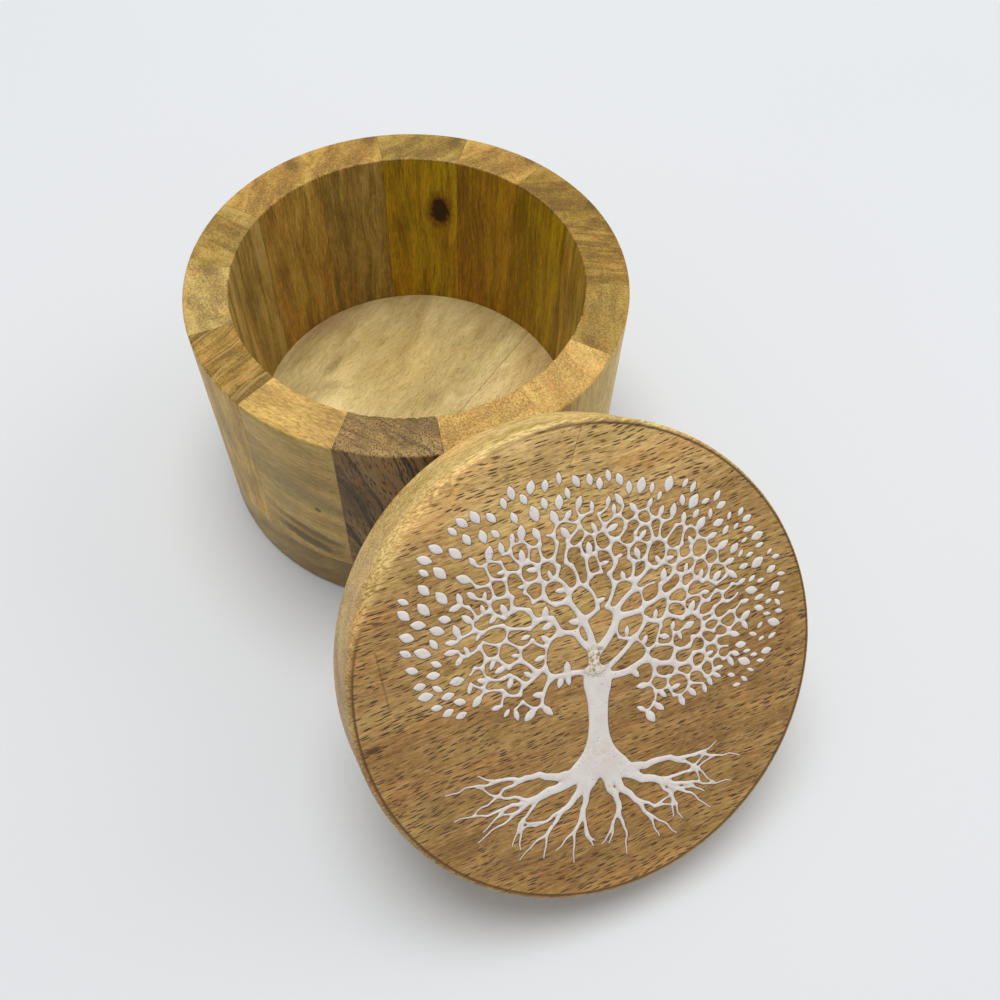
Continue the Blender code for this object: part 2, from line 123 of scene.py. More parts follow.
class Graph:
    """Node tree of one material, with the one method that adds nodes to it."""

    def __init__(self, name: str) -> None:
        """Make the material and empty its tree.

        Args:
            name: Name of the material.
        """
        self.material = bpy.data.materials.new(name)
        self.material.use_nodes = True
        self.tree = self.material.node_tree
        self.tree.nodes.clear()

    def node(self, kind: str, settings: dict | None = None,
             inputs: dict | None = None) -> bpy.types.Node:
        """Add a node.

        Args:
            kind: Type of the node.
            settings: Its properties, set before its sockets.
            inputs: Value, socket or wire of each input, by name or number.

        Returns:
            The new node.
        """
        node = self.tree.nodes.new(kind)
        for key, value in (settings or {}).items():
            setattr(node, key, value)
        for key, value in (inputs or {}).items():
            if isinstance(value, Wire):
                value = value.socket
            if isinstance(value, Socket):
                self.tree.links.new(value, node.inputs[key])
            elif hasattr(value, "__len__") and node.inputs[key].type == "RGBA":
                node.inputs[key].default_value = (*value, 1.0)
            else:
                node.inputs[key].default_value = value
        return node

    def maths(self, operation: str, *values: Number) -> Wire:
        """Add a Math node on the values and return its result."""
        node = self.node("ShaderNodeMath", {"operation": operation}, dict(enumerate(values)))
        return Wire(self, node.outputs[0])

    def vectors(self, operation: str, first: Socket, second: object) -> bpy.types.Node:
        """Add a Vector Math node on two vectors, or on a vector and a constant."""
        return self.node("ShaderNodeVectorMath", {"operation": operation}, {0: first, 1: second})

    def length(self, offset: Socket) -> Wire:
        """Length of a vector."""
        node = self.node("ShaderNodeVectorMath", {"operation": "LENGTH"}, {0: offset})
        return Wire(self, node.outputs["Value"])

    def stretched(self, place: Socket, rates: Sequence[float]) -> Socket:
        """The place with each of its numbers multiplied by a rate."""
        return self.vectors("MULTIPLY", place, tuple(rates)).outputs[0]

    def mix(self, share: Number, first: object, second: object, blend: str = "MIX") -> Socket:
        """Mix two colours.

        Args:
            share: Share of the second.
            first: Colour or socket.
            second: Colour or socket.
            blend: Blend mode.

        Returns:
            Socket of the mixed colour.
        """
        node = self.node("ShaderNodeMix", {"data_type": "RGBA", "blend_type": blend},
                         {0: share, 6: first, 7: second})
        return node.outputs[2]

    def noise(self, place: Socket, detail: float = 2.0, rough: float = 0.5) -> bpy.types.Node:
        """Add a noise that changes about once per unit of the place."""
        return self.node("ShaderNodeTexNoise", {},
                         {"Vector": place, "Scale": 1.0, "Detail": detail, "Roughness": rough})

    def cloud(self, place: Socket, rates: Sequence[float], detail: float = 2.0,
              rough: float = 0.5) -> Wire:
        """Noise of the place, with its rates of change per millimetre, as a number."""
        return Wire(self, self.noise(self.stretched(place, rates), detail, rough).outputs[0])

    def carried(self, label: str) -> Wire:
        """Number that a piece's mesh carries: its "mark", which darkens glue joints and paints
        shade along some edges, or its "side".
        """
        node = self.node("ShaderNodeAttribute", {"attribute_name": label})
        return Wire(self, node.outputs["Fac"])

    def faces(self) -> tuple[Wire, Wire]:
        """Shares of a turned inside and outside, from the mesh's "side": 1 inside, -1 outside."""
        side = self.carried("side")
        return self.maths("MAXIMUM", side, 0.0), self.maths("MAXIMUM", side * -1.0, 0.0)

    def local(self, place: Sequence[float] = (0.0, 0.0, 0.0),
              turn: Sequence[float] = (0.0, 0.0, 0.0)) -> Socket:
        """Object coordinates in millimetres, in a frame of their own.

        Args:
            place: Place of the frame, in metres.
            turn: Its turn about each axis.

        Returns:
            Socket of the coordinates.
        """
        source = self.node("ShaderNodeTexCoord")
        mapped = self.node("ShaderNodeMapping", {"vector_type": "TEXTURE"},
                           {"Vector": source.outputs["Object"], "Location": tuple(place),
                            "Rotation": tuple(turn), "Scale": (MM, MM, MM)})
        return mapped.outputs[0]

    def bump(self, height: Number, depth: float) -> Socket:
        """Raise a surface by a height.

        Args:
            height: The height, from 0 to 1.
            depth: Depth of the whole range, in metres.

        Returns:
            Socket of the new normal.
        """
        node = self.node("ShaderNodeBump", {}, {"Strength": 1.0, "Distance": depth,
                                                "Height": height})
        return node.outputs[0]

    def finish(self, **sockets: object) -> bpy.types.Material:
        """Close the tree with a Principled shader.

        Args:
            sockets: Its inputs, with _ for a space in their names.

        Returns:
            The finished material.
        """
        named = {key.replace("_", " "): value for key, value in sockets.items()}
        shader = self.node("ShaderNodeBsdfPrincipled", {}, named)
        self.node("ShaderNodeOutputMaterial", {}, {0: shader.outputs[0]})
        return self.material


# Finishes


@dataclass(frozen=True)
class Patch:
    """Knot or stain: a soft-edged spot of another colour, in the wood's own millimetres."""

    centre: Triple
    reach: Triple
    colour: Colour
    strength: float
    edge: float
    blend: str = "MIX"

    RAGGED = (1.1, 1.1, 0.8)        # changes per millimetre of the noise that frays its edge

    def over(self, g: Graph, spot: Socket, colour: Socket) -> Socket:
        """Lay the patch over a colour.

        Args:
            g: Graph of the material.
            spot: Place in the wood, in millimetres.
            colour: Socket of the colour under it.

        Returns:
            Socket of the new colour.
        """
        offset = g.vectors("SUBTRACT", spot, self.centre).outputs[0]
        length = g.length(g.stretched(offset, tuple(1 / r for r in self.reach)))
        ragged = length + (g.cloud(spot, self.RAGGED, 3.0) - 0.5) * 0.9
        return g.mix(ragged.rises(1.0 + self.edge, 1.0 - self.edge) * self.strength,
                     colour, self.colour, self.blend)


@dataclass(frozen=True)
class Crack:
    """Fine dark line between two places, in the wood's own millimetres."""

    start: Triple
    end: Triple
    width: float
    colour: Colour = (0.05, 0.022, 0.008)
    strength: float = 0.85

    RAGGED = (1.3, 1.3, 1.3)        # changes per millimetre of the noise that frays it

    def over(self, g: Graph, spot: Socket, colour: Socket) -> Socket:
        """Draw the crack: dark where the distance to its nearest point is small.

        Args:
            g: Graph of the material.
            spot: Place in the wood, in millimetres.
            colour: Socket of the colour under it.

        Returns:
            Socket of the new colour.
        """
        run = Vector(self.end) - Vector(self.start)
        offset = g.vectors("SUBTRACT", spot, self.start).outputs[0]
        along = Wire(g, g.vectors("DOT_PRODUCT", offset, tuple(run / run.length_squared))
                     .outputs["Value"])
        along = g.maths("MINIMUM", g.maths("MAXIMUM", along, 0.0), 1.0)
        nearest = g.node("ShaderNodeVectorMath", {"operation": "SCALE"},
                         {0: tuple(run), "Scale": along})
        length = g.length(g.vectors("SUBTRACT", offset, nearest.outputs[0]).outputs[0])
        ragged = length + (g.cloud(spot, self.RAGGED) - 0.5) * self.width * 3.0
        return g.mix(ragged.rises(1.5 * self.width, 0.4 * self.width) * self.strength,
                     colour, self.colour)


@dataclass(frozen=True)
class Wood:
    """Satin mango wood: growth bands, fibres, mottling and pores, all running along its grain.

    The grain runs along Z of the wood's own frame and the growth bands follow each other along
    its X, so the same pattern shows dots on the end grain and streaks on the long grain.
    """

    name: str
    light: Colour
    deep: Colour
    place: Triple = (0.0, 0.0, 0.0)
    turn: Triple = (0.0, 0.0, 0.0)
    band: float = 3.0               # millimetres from one growth band to the next
    band_strength: float = 0.5
    wander: float = 2.5             # how far the grain wanders, in millimetres
    streak: float = 2.1             # strength of the fine fibres
    mottle: float = 1.8             # strength of the slow patches
    grit: float = 1.5               # strength of the finest grain
    pore: float = 0.6
    pore_gap: tuple[float, float] = (0.5, 3.0)    # across and along the grain, in millimetres
    pore_size: tuple[float, float] = (0.075, 0.9)
    pore_colour: Colour = (0.085, 0.042, 0.012)
    stripe: float = 0.0             # strength of crisp lines along the bands
    stripe_pitch: float = 1.5
    stripe_width: float = 0.05      # as a share of the pitch
    stripe_colour: Colour | None = None           # darker than the deep wood where not given
    side_tint: Colour = (1.0, 1.0, 1.0)           # colour of the turned side, by the face's; on the base's boards, painted shade
    side_pore: float = 0.3          # share of the pores that show on the turned side
    side_band: float = 1.0          # share of the bands and stripes that shows there
    side_figure: float = 0.85       # share of the fibres and mottling that shows there
    side_grit: float = 1.3          # share of the finest grain that shows there
    out_tint: Colour = (1.0, 1.0, 1.0)            # the same for the outside of a stave
    out_band: float = 0.5           # share of the bands and stripes that shows there
    blush: float = 0.5              # strength of the reddish and greenish stretches
    edge: Colour = (0.10, 0.055, 0.02)            # colour of marked edges: dark glue joints, and painted shade on the lid
    rough: float = 0.5
    patches: tuple[Patch, ...] = ()
    cracks: tuple[Crack, ...] = ()

    # Changes of each noise per millimetre: twice across the grain, and along it
    DRIFT = (0.07, 0.07, 0.03)
    FIBRES = (1.9, 1.9, 0.10)
    FINE = (2.6, 2.6, 0.45)
    SLOW = (0.20, 0.20, 0.06)
    HUE = (0.16, 0.16, 0.035)
    # Tones over which the deep grain turns light, and over which it turns darker or paler still
    BODY, DARKEST, PALEST = (0.12, 0.88), (0.26, -0.16), (0.72, 1.10)
    REDDISH, GREENISH = (1.10, 0.93, 0.80), (0.95, 1.03, 0.84)      # tints of the blush
    RELIEF = 0.00011                # depth of the surface's unevenness, in metres

    def material(self) -> bpy.types.Material:
        """Build the material.

        Returns:
            The finished material.
        """
        g = Graph(self.name)
        spot = g.local(self.place, self.turn)
        drift = g.noise(g.stretched(spot, self.DRIFT)).outputs[1]
        drift = g.vectors("SUBTRACT", drift, (0.5, 0.5, 0.5)).outputs[0]
        drift = g.stretched(drift, (2 * self.wander, 2 * self.wander, 0.0))
        bent = g.vectors("ADD", spot, drift).outputs[0]
        rate = 1.0 / self.band
        inside, outside = g.faces()
        banded = 1 - outside * (1 - self.out_band) - inside * (1 - self.side_band)
        bands = g.cloud(bent, (rate, 0.16 * rate, 0.02 * rate), 4.0, 0.6).rises(0.32, 0.68)
        fibres = g.cloud(bent, self.FIBRES, 5.0, 0.72)
        fine = g.cloud(spot, self.FINE, 4.0, 0.8)
        patches = g.cloud(spot, self.SLOW)
        grit = (fine - 0.5) * self.grit * (1 + inside * (self.side_grit - 1))
        tone = (bands - 0.5) * banded * self.band_strength + grit + 0.5
        figure = (fibres - 0.5) * self.streak + (patches - 0.5) * self.mottle
        tone = tone + figure * (1 - inside * (1 - self.side_figure))
        dark = tuple(0.58 * c for c in self.deep)
        pale = tuple(min(1.0, 1.16 * c + 0.035) for c in self.light)
        colour = g.mix(tone.rises(*self.BODY), self.deep, self.light)
        colour = g.mix(tone.rises(*self.DARKEST) * 0.8, colour, dark)
        colour = g.mix(tone.rises(*self.PALEST) * 0.85, colour, pale)
        hue = g.cloud(bent, self.HUE)
        colour = g.mix(hue.rises(0.50, 0.68) * self.blush, colour, self.REDDISH, "MULTIPLY")
        colour = g.mix(hue.rises(0.50, 0.34) * self.blush, colour, self.GREENISH, "MULTIPLY")
        if self.stripe:
            pitch = 1.0 / self.stripe_pitch
            lines = g.cloud(bent, (pitch, 0.05 * pitch, 0.01 * pitch))
            crisp = 1 - g.maths("ABSOLUTE", lines - 0.5).rises(0.0, self.stripe_width)
            colour = g.mix(crisp * banded * self.stripe, colour, self.stripe_colour or dark)
        pores = self.pores(g, bent, patches) * (1 - inside * (1 - self.side_pore))
        colour = g.mix(pores * self.pore, colour, self.pore_colour)
        for layer in (*self.patches, *self.cracks):
            colour = layer.over(g, spot, colour)
        colour = g.mix(inside, colour, self.side_tint, "MULTIPLY")
        colour = g.mix(outside, colour, self.out_tint, "MULTIPLY")
        # Marked edges darken: the glue joints and the base's seam, and on the lid painted shade
        # along its rim, round its carving and in its pockets.
        colour = g.mix(g.carried("mark"), colour, self.edge)
        relief = fibres * 0.35 + fine * 0.35 - pores * 0.8
        return g.finish(
            Base_Color=colour, Roughness=fibres * 0.18 + (self.rough - 0.09),
            Normal=g.bump(relief, self.RELIEF), Specular_IOR_Level=0.35)

    def pores(self, g: Graph, bent: Socket, patches: Wire) -> Wire:
        """Spindle-shaped pores, one in each random cell.

        Args:
            g: Graph of the material.
            bent: The place, bent with the grain.
            patches: Slow noise that thins them out.

        Returns:
            1 in a pore and 0 outside.
        """
        across, along = self.pore_gap
        cells = g.stretched(bent, (1 / across, 1 / across, 1 / along))
        centre = g.node("ShaderNodeTexVoronoi", {}, {"Vector": cells, "Scale": 1.0})
        offset = g.vectors("SUBTRACT", cells, centre.outputs["Position"]).outputs[0]
        wide, long = self.pore_size
        length = g.length(g.stretched(offset, (across / wide, across / wide, along / long)))
        size = patches * 1.3 + 0.35
        return (length / size).rises(1.25, 0.6)


@dataclass(frozen=True)
class Filling:
    """Matt white filling, faintly pink, with pinholes, smears of wood dust, soft relief and painted
    shade round its edges.
    """

    name: str
    white: Colour = (0.775, 0.725, 0.672)
    shade: Colour = (0.67, 0.575, 0.525)
    rough_spot: Triple = (0.0, 0.0, 0.0)          # middle of the spot without a smooth skin
    smear: Triple = (0.0, 0.0, 0.0)               # middle of the smear of wood dust

    def material(self) -> bpy.types.Material:
        """Build the material.

        Returns:
            The finished material.
        """
        g = Graph(self.name)
        spot = g.local(self.rough_spot)
        slow = g.cloud(spot, (0.35, 0.35, 0.35), 3.0)
        grit = g.cloud(spot, (2.6, 2.6, 2.6), 3.0, 0.65)
        colour = g.mix(slow.rises(0.35, 0.7) * 0.5, self.white, self.shade)
        holes = g.node("ShaderNodeTexVoronoi", {}, {
            "Vector": g.stretched(spot, (1.15, 1.15, 1.15)), "Scale": 1.0})
        pits = Wire(g, holes.outputs["Distance"]).rises(0.15, 0.07)
        pits = pits * g.cloud(spot, (0.5, 0.5, 0.5), 1.0).rises(0.46, 0.58)
        away = g.length(spot)
        crumbs = g.cloud(spot, (1.15, 1.15, 1.15), 3.0, 0.6)
        lump = (away + (grit - 0.5) * 2.2).rises(3.4, 2.2)
        beyond = g.length(g.local(self.smear))
        dust = (beyond + (slow - 0.5) * 6.0).rises(4.2, 1.6) * crumbs.rises(0.46, 0.60)
        layers = (
            (dust * 0.55, (0.66, 0.54, 0.38)),                              # wood dust
            (lump * 0.6, (0.78, 0.66, 0.46)),                               # rough spot
            (lump * crumbs.rises(0.47, 0.38) * 0.85, (0.33, 0.19, 0.07)),   # its dark crumbs
            (lump * crumbs.rises(0.53, 0.60) * 0.9, (0.90, 0.86, 0.78)),    # its pale crumbs
            (pits * 0.7, (0.30, 0.22, 0.17)),                               # pinholes
            (grit.rises(0.55, 0.8) * 0.16, (0.55, 0.45, 0.38)),             # grey grains
            (g.carried("mark") * 0.55, (0.58, 0.37, 0.26)))                 # painted shade round its edge
        for share, tint in layers:
            colour = g.mix(share, colour, tint)
        relief = slow * 0.5 + grit * 0.34 - pits * 0.5 + lump * crumbs * 2.2
        return g.finish(Base_Color=colour, Roughness=grit * 0.2 + 0.42,
                        Normal=g.bump(relief, 0.00022), Specular_IOR_Level=0.4)


class Paint(Enum):
    """Plain surfaces of the set, which aren't part of the box."""

    TABLE = (0.752, 0.768, 0.785)

    def material(self) -> bpy.types.Material:
        """Build a matt material with the faintest unevenness.

        Returns:
            The finished material.
        """
        g = Graph(self.name.lower())
        spot = g.local()
        uneven = g.cloud(spot, (0.004, 0.004, 0.004), 2.0)
        dimmer = tuple(0.94 * c for c in self.value)
        return g.finish(Base_Color=g.mix(uneven, dimmer, self.value), Roughness=0.7,
                        Specular_IOR_Level=0.2)


# Meshes


@dataclass
class Shell:
    """Closed surface in the making: its points, its faces and the mark at each face's corners."""

    points: Array
    faces: list[Array] = field(default_factory=list)
    marks: list[Array] = field(default_factory=list)
    sides: list[Array] = field(default_factory=list)

    def add(self, faces: Array, mark: Array | float = 0.0,
            side: Array | float = 0.0) -> None:
        """Add faces of one number of corners.

        Args:
            faces: Their corners.
            mark: How much of the edge's colour each has, or each corner, or all.
            side: What of the turned side each is, likewise.
        """
        self.faces.append(faces)
        self.marks.append(np.broadcast_to(np.asarray(mark, np.float32), faces.shape))
        self.sides.append(np.broadcast_to(np.asarray(side, np.float32), faces.shape))

    def volume(self) -> float:
        """Sum the volumes of the cones from the origin to each triangle of each face.

        Returns:
            Volume inside, negative where the faces point inwards.
        """
        total = 0.0
        for faces in self.faces:
            corners = self.points[faces]
            for k in range(1, faces.shape[1] - 1):
                cross = np.cross(corners[:, k], corners[:, k + 1])
                total += np.einsum("ij,ij->", corners[:, 0], cross) / 6.0
        return total

    def piece(self, name: str, material: bpy.types.Material, body: str, slot: str,
              nodes: Sequence[str], crisp: float = 35.0) -> bpy.types.Object:
        """Put the surface in the scene in place of its solids.

        Args:
            name: Name of the piece.
            material: Its finish.
            body: Body that it rides on.
            slot: Material slot of the record; not used.
            nodes: Solids that it stands for.
            crisp: Angle in degrees from which an edge stays sharp.

        Returns:
            The finished object.
        """
        used, corners = np.unique(np.concatenate([f.ravel() for f in self.faces]),
                                  return_inverse=True)
        self.points = self.points[used]
        ends = np.cumsum([f.size for f in self.faces])[:-1]
        self.faces = [part.reshape(f.shape) for part, f in zip(np.split(corners, ends), self.faces)]
        if self.volume() < 0:
            self.faces = [faces[:, ::-1] for faces in self.faces]
            self.marks = [mark[:, ::-1] for mark in self.marks]
            self.sides = [side[:, ::-1] for side in self.sides]
        mesh = bpy.data.meshes.new(name)
        mesh.vertices.add(len(self.points))
        mesh.vertices.foreach_set("co", np.asarray(self.points, np.float32).ravel())
        sizes = np.concatenate([np.full(len(f), f.shape[1], np.int32) for f in self.faces])
        corners = np.concatenate([f.ravel() for f in self.faces]).astype(np.int32)
        mesh.loops.add(len(corners))
        mesh.loops.foreach_set("vertex_index", corners)
        mesh.polygons.add(len(sizes))
        starts = np.concatenate([[0], np.cumsum(sizes)[:-1]]).astype(np.int32)
        mesh.polygons.foreach_set("loop_start", starts)
        mesh.update(calc_edges=True)
        for label, parts in (("mark", self.marks), ("side", self.sides)):
            layer = mesh.attributes.new(label, "FLOAT", "CORNER")
            layer.data.foreach_set("value", np.concatenate([part.ravel() for part in parts]))
        mesh.shade_smooth()
        mesh.set_sharp_from_angle(angle=math.radians(crisp))
        mesh.materials.append(material)
        piece = bpy.data.objects.new(name, mesh)
        bpy.context.scene.collection.objects.link(piece)
        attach(piece, body)
        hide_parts(*nodes)
        log.info("%s: %d points, %d faces, for %d solids", name, len(self.points), len(sizes),
                 len(nodes))
        return piece


def lattice(rows: int, columns: int, wrap_rows: bool = False,
            wrap_columns: bool = False) -> Array:
    """Four-sided faces of a grid of points that are stored row by row.

    Args:
        rows: Number of rows.
        columns: Number of columns.
        wrap_rows: Whether the last row joins the first.
        wrap_columns: Whether the last column joins the first.

    Returns:
        Corners of each face.
    """
    r = np.arange(rows if wrap_rows else rows - 1)[:, None]
    c = np.arange(columns if wrap_columns else columns - 1)[None, :]
    below, right = (r + 1) % rows, (c + 1) % columns
    faces = np.stack([r * columns + c, r * columns + right, below * columns + right,
                      below * columns + c], axis=-1)
    return faces.reshape(-1, 4)


def fan(ring: Array, hub: int) -> Array:
    """Three-sided faces from a hub to each side of a closed ring of points."""
    return np.stack([np.full(len(ring), hub), ring, np.roll(ring, -1)], axis=1)


def arc(centre: tuple[float, float], radius: float, start: float, end: float,
        steps: int) -> Array:
    """Points along a circular arc in a section, from one direction to another in degrees."""
    angle = np.radians(np.linspace(start, end, steps + 1))
    return np.stack([centre[0] + radius * np.cos(angle), centre[1] + radius * np.sin(angle)], 1)


def ripple(first: Array, second: Array, seed: int) -> Array:
    """Gentle unevenness from -1 to 1: the mean of sine waves of random directions and starts.

    Args:
        first: First coordinate, in units of about one wave.
        second: Second coordinate, in the same units.
        seed: Seed of the random waves.

    Returns:
        Height at each place.
    """
    chance, waves = np.random.default_rng(seed), 9
    turn = chance.uniform(0, math.tau, waves)
    rate = chance.uniform(2.0, 7.0, waves)
    start = chance.uniform(0, math.tau, waves)
    phase = (first[..., None] * np.cos(turn) + second[..., None] * np.sin(turn)) * rate + start
    return np.sin(phase).mean(axis=-1)


# Carved tree, flat and in millimetres


def bend(start: Array, middle: Array, end: Array, steps: int) -> Array:
    """Quadratic curve: the three places mixed by the squares and product of t and 1 - t."""
    t = np.linspace(0.0, 1.0, steps + 1)[:, None]
    return start * (1 - t) ** 2 + middle * 2 * t * (1 - t) + end * t ** 2


def turned_by(direction: Array, degrees: float) -> Array:
    """Turn flat directions or places about the origin.

    Args:
        direction: One, or several.
        degrees: Angle, anticlockwise.

    Returns:
        The turned ones.
    """
    turn = math.radians(degrees)
    spin = np.array([[math.cos(turn), math.sin(turn)], [-math.sin(turn), math.cos(turn)]])
    return direction @ spin


def unit(vector: Array) -> Array:
    """Vectors of length one."""
    return vector / np.maximum(np.linalg.norm(vector, axis=-1, keepdims=True), 1e-9)


@dataclass(frozen=True)
class Leaf:
    """Pointed oval: the overlap of two equal circles, given by its middle, axis and size."""

    centre: Array
    along: Array
    length: float
    width: float

    def rim(self, grow: float = 0.0) -> Array:
        """A few points of the outline, to test the leaf's room with.

        Args:
            grow: How much it is grown on all sides.

        Returns:
            The points.
        """
        turn = np.linspace(0, math.tau, 12, endpoint=False)
        across = np.array([-self.along[1], self.along[0]])
        along = np.cos(turn) * (self.length / 2 + grow)
        side = np.sin(turn) * (self.width / 2 + grow) * np.abs(np.sin(turn)) ** 0.3
        return self.centre + along[:, None] * self.along + side[:, None] * across


class Field:
    """Signed distance to the carved shapes on a square grid, in millimetres, negative inside."""

    FAR = 9.0                       # distance where nothing is carved
    ROOM = 1.6                      # room round a shape for its fillets

    def __init__(self, reach: float, pitch: float) -> None:
        """Start with nothing carved.

        Args:
            reach: Half the side of the grid.
            pitch: Distance between its lines.
        """
        self.reach = reach
        self.pitch = pitch
        self.count = int(2 * reach / pitch) + 1
        self.ticks = -reach + pitch * np.arange(self.count)
        self.value = np.full((self.count, self.count), self.FAR)

    def window(self, points: Array, half: float = 0.0) -> tuple[tuple[slice, slice], Array]:
        """Part of the grid round a shape.

        Args:
            points: Points of the shape.
            half: Its half width, where the points lie along its middle.

        Returns:
            The rows and columns of the part, and the places of its nodes.
        """
        margin = half + self.ROOM
        low = np.floor((points.min(0) - margin + self.reach) / self.pitch).astype(int)
        high = np.ceil((points.max(0) + margin + self.reach) / self.pitch).astype(int) + 1
        low, high = np.clip(low, 0, self.count), np.clip(high, 0, self.count)
        part = (slice(low[0], high[0]), slice(low[1], high[1]))
        places = np.stack(np.meshgrid(self.ticks[part[0]], self.ticks[part[1]], indexing="ij"), -1)
        return part, places

    def join(self, part: tuple[slice, slice], value: Array, blend: float) -> None:
        """Unite a shape with what is there, with fillets of a size where they meet.

        The smooth minimum of two distances is their blend by how near they are to each other,
        less a quarter of the fillet's size where they are equal.

        Args:
            part: Rows and columns of the grid.
            value: Distance to the shape there.
            blend: Size of the fillets.
        """
        there = self.value[part]
        share = np.clip(0.5 + 0.5 * (there - value) / blend, 0.0, 1.0)
        self.value[part] = there + (value - there) * share - blend * share * (1 - share)

    def stroke(self, path: Array, widths: Array, blend: float) -> None:
        """Carve a stroke: the distance to each run of the path, less its own half width.

        Args:
            path: Points along its middle.
            widths: Its width at each.
            blend: Size of the fillets.
        """
        part, places = self.window(path, widths.max() / 2)
        start, run = path[:-1], np.diff(path, axis=0)
        squared = np.maximum((run ** 2).sum(1), 1e-9)
        offset = places[..., None, :] - start
        share = np.clip((offset * run).sum(-1) / squared, 0.0, 1.0)
        gap = np.linalg.norm(offset - share[..., None] * run, axis=-1)
        half = (widths[:-1] + (widths[1:] - widths[:-1]) * share) / 2
        self.join(part, (gap - half).min(-1), blend)

    def leaf(self, leaf: Leaf, blend: float = 0.05) -> None:
        """Carve a leaf.

        Its half width is the widest times a power of one less the square of the share of the way
        to its tip. The distance is that across the leaf, shortened by the slope of its edge, and
        beyond the tip it is the distance to the tip.

        Args:
            leaf: The leaf.
            blend: Size of the fillets.
        """
        part, places = self.window(leaf.rim())
        offset = places - leaf.centre
        across = np.array([-leaf.along[1], leaf.along[0]])
        x, y = np.abs(offset @ across), np.abs(offset @ leaf.along)
        tip, side = leaf.length / 2 + 0.12, leaf.width / 2
        left = np.clip(1 - (y / tip) ** 2, 1e-6, 1.0)
        slope = 2.2 * side * y / tip ** 2 * left ** 0.1
        value = np.where(y > tip, np.hypot(x, y - tip),
                         (x - side * left ** 1.1) / np.hypot(1.0, slope))
        self.join(part, value - 0.03, blend)

    def outline(self, points: Array, blend: float) -> None:
        """Carve a closed outline: the least distance to its sides, negative inside it.

        Args:
            points: Its corners.
            blend: Size of the fillets.
        """
        part, places = self.window(points)
        run = np.roll(points, -1, axis=0) - points
        offset = places[..., None, :] - points
        share = np.clip((offset * run).sum(-1) / (run ** 2).sum(1), 0.0, 1.0)
        gap = np.linalg.norm(offset - share[..., None] * run, axis=-1).min(-1)
        y, ahead = places[..., 1, None], np.roll(points, -1, axis=0)
        spans = (points[:, 1] > y) != (ahead[:, 1] > y)
        slope = run[:, 0] / np.where(np.abs(run[:, 1]) < 1e-9, 1e-9, run[:, 1])
        left = places[..., 0, None] < points[:, 0] + (y - points[:, 1]) * slope
        inside = (spans & left).sum(-1) % 2 == 1
        self.join(part, np.where(inside, -gap, gap), blend)

    def at(self, points: Array) -> Array:
        """Mix the value at any points from the four nodes round each.

        Args:
            points: The points.

        Returns:
            The value at each.
        """
        place = np.clip((points + self.reach) / self.pitch, 0, self.count - 1.001)
        i = place.astype(int)
        t = place - i
        v, x, y = self.value, i[..., 0], i[..., 1]
        near = v[x, y] * (1 - t[..., 1]) + v[x, y + 1] * t[..., 1]
        far = v[x + 1, y] * (1 - t[..., 1]) + v[x + 1, y + 1] * t[..., 1]
        return near * (1 - t[..., 0]) + far * t[..., 0]

    def loops(self, level: float, spacing: float, least: float = 1.4) -> "Loops":
        """Closed outlines where the value passes a level, inside on the left.

        Each square of the grid that the level crosses gives a run from one of its sides to
        another. The runs are followed round, and points are laid evenly along each outline.

        Args:
            level: Value of the outline.
            spacing: Distance between its points.
            least: Length of the shortest outline that is kept.

        Returns:
            The outlines.
        """
        inside = self.value < level
        n = self.count
        flat = np.arange(n * n).reshape(n, n)
        side_h, side_v = flat[:-1, :], flat[:, :-1] + n * n
        sides = [side_h[:, :-1], side_v[1:, :], side_h[:, 1:], side_v[:-1, :]]
        corner = [inside[:-1, :-1], inside[1:, :-1], inside[1:, 1:], inside[:-1, 1:]]
        centre = (self.value[:-1, :-1] + self.value[1:, :-1] + self.value[1:, 1:]
                  + self.value[:-1, 1:]) < 4 * level
        starts, ends = [], []
        for k in range(4):
            leaves = corner[k] & ~corner[(k + 1) % 4]
            back = [~corner[(k - j) % 4] & corner[(k - j + 1) % 4] for j in (1, 2, 3)]
            saddle = leaves & back[0] & corner[(k + 2) % 4] & ~corner[(k + 3) % 4]
            for j, enters in enumerate(back):
                chosen = leaves & enters & ~saddle
                starts.append(sides[k][chosen])
                ends.append(sides[(k - j - 1) % 4][chosen])
            for joined, other in ((True, (k + 1) % 4), (False, (k - 1) % 4)):
                chosen = saddle & (centre == joined)
                starts.append(sides[k][chosen])
                ends.append(sides[other][chosen])
        start, end = np.concatenate(starts), np.concatenate(ends)
        order = np.argsort(start)
        start, end = start[order], end[order]
        return Loops.follow(self.crossings(start, level), np.searchsorted(start, end), spacing,
                            least)

    def crossings(self, side: Array, level: float) -> Array:
        """Find where the level crosses sides of the grid's squares.

        Args:
            side: Numbers of the sides.
            level: The level.

        Returns:
            Place of each crossing.
        """
        n = self.count
        upright = side >= n * n
        x, y = np.divmod(side % (n * n), n)
        here = self.value[x, y]
        there = self.value[x + ~upright, y + upright]
        share = np.clip((level - here) / (there - here), 0.02, 0.98)
        step = np.stack([np.where(upright, 0.0, share), np.where(upright, share, 0.0)], 1)
        return (np.stack([x, y], 1) + step) * self.pitch - self.reach


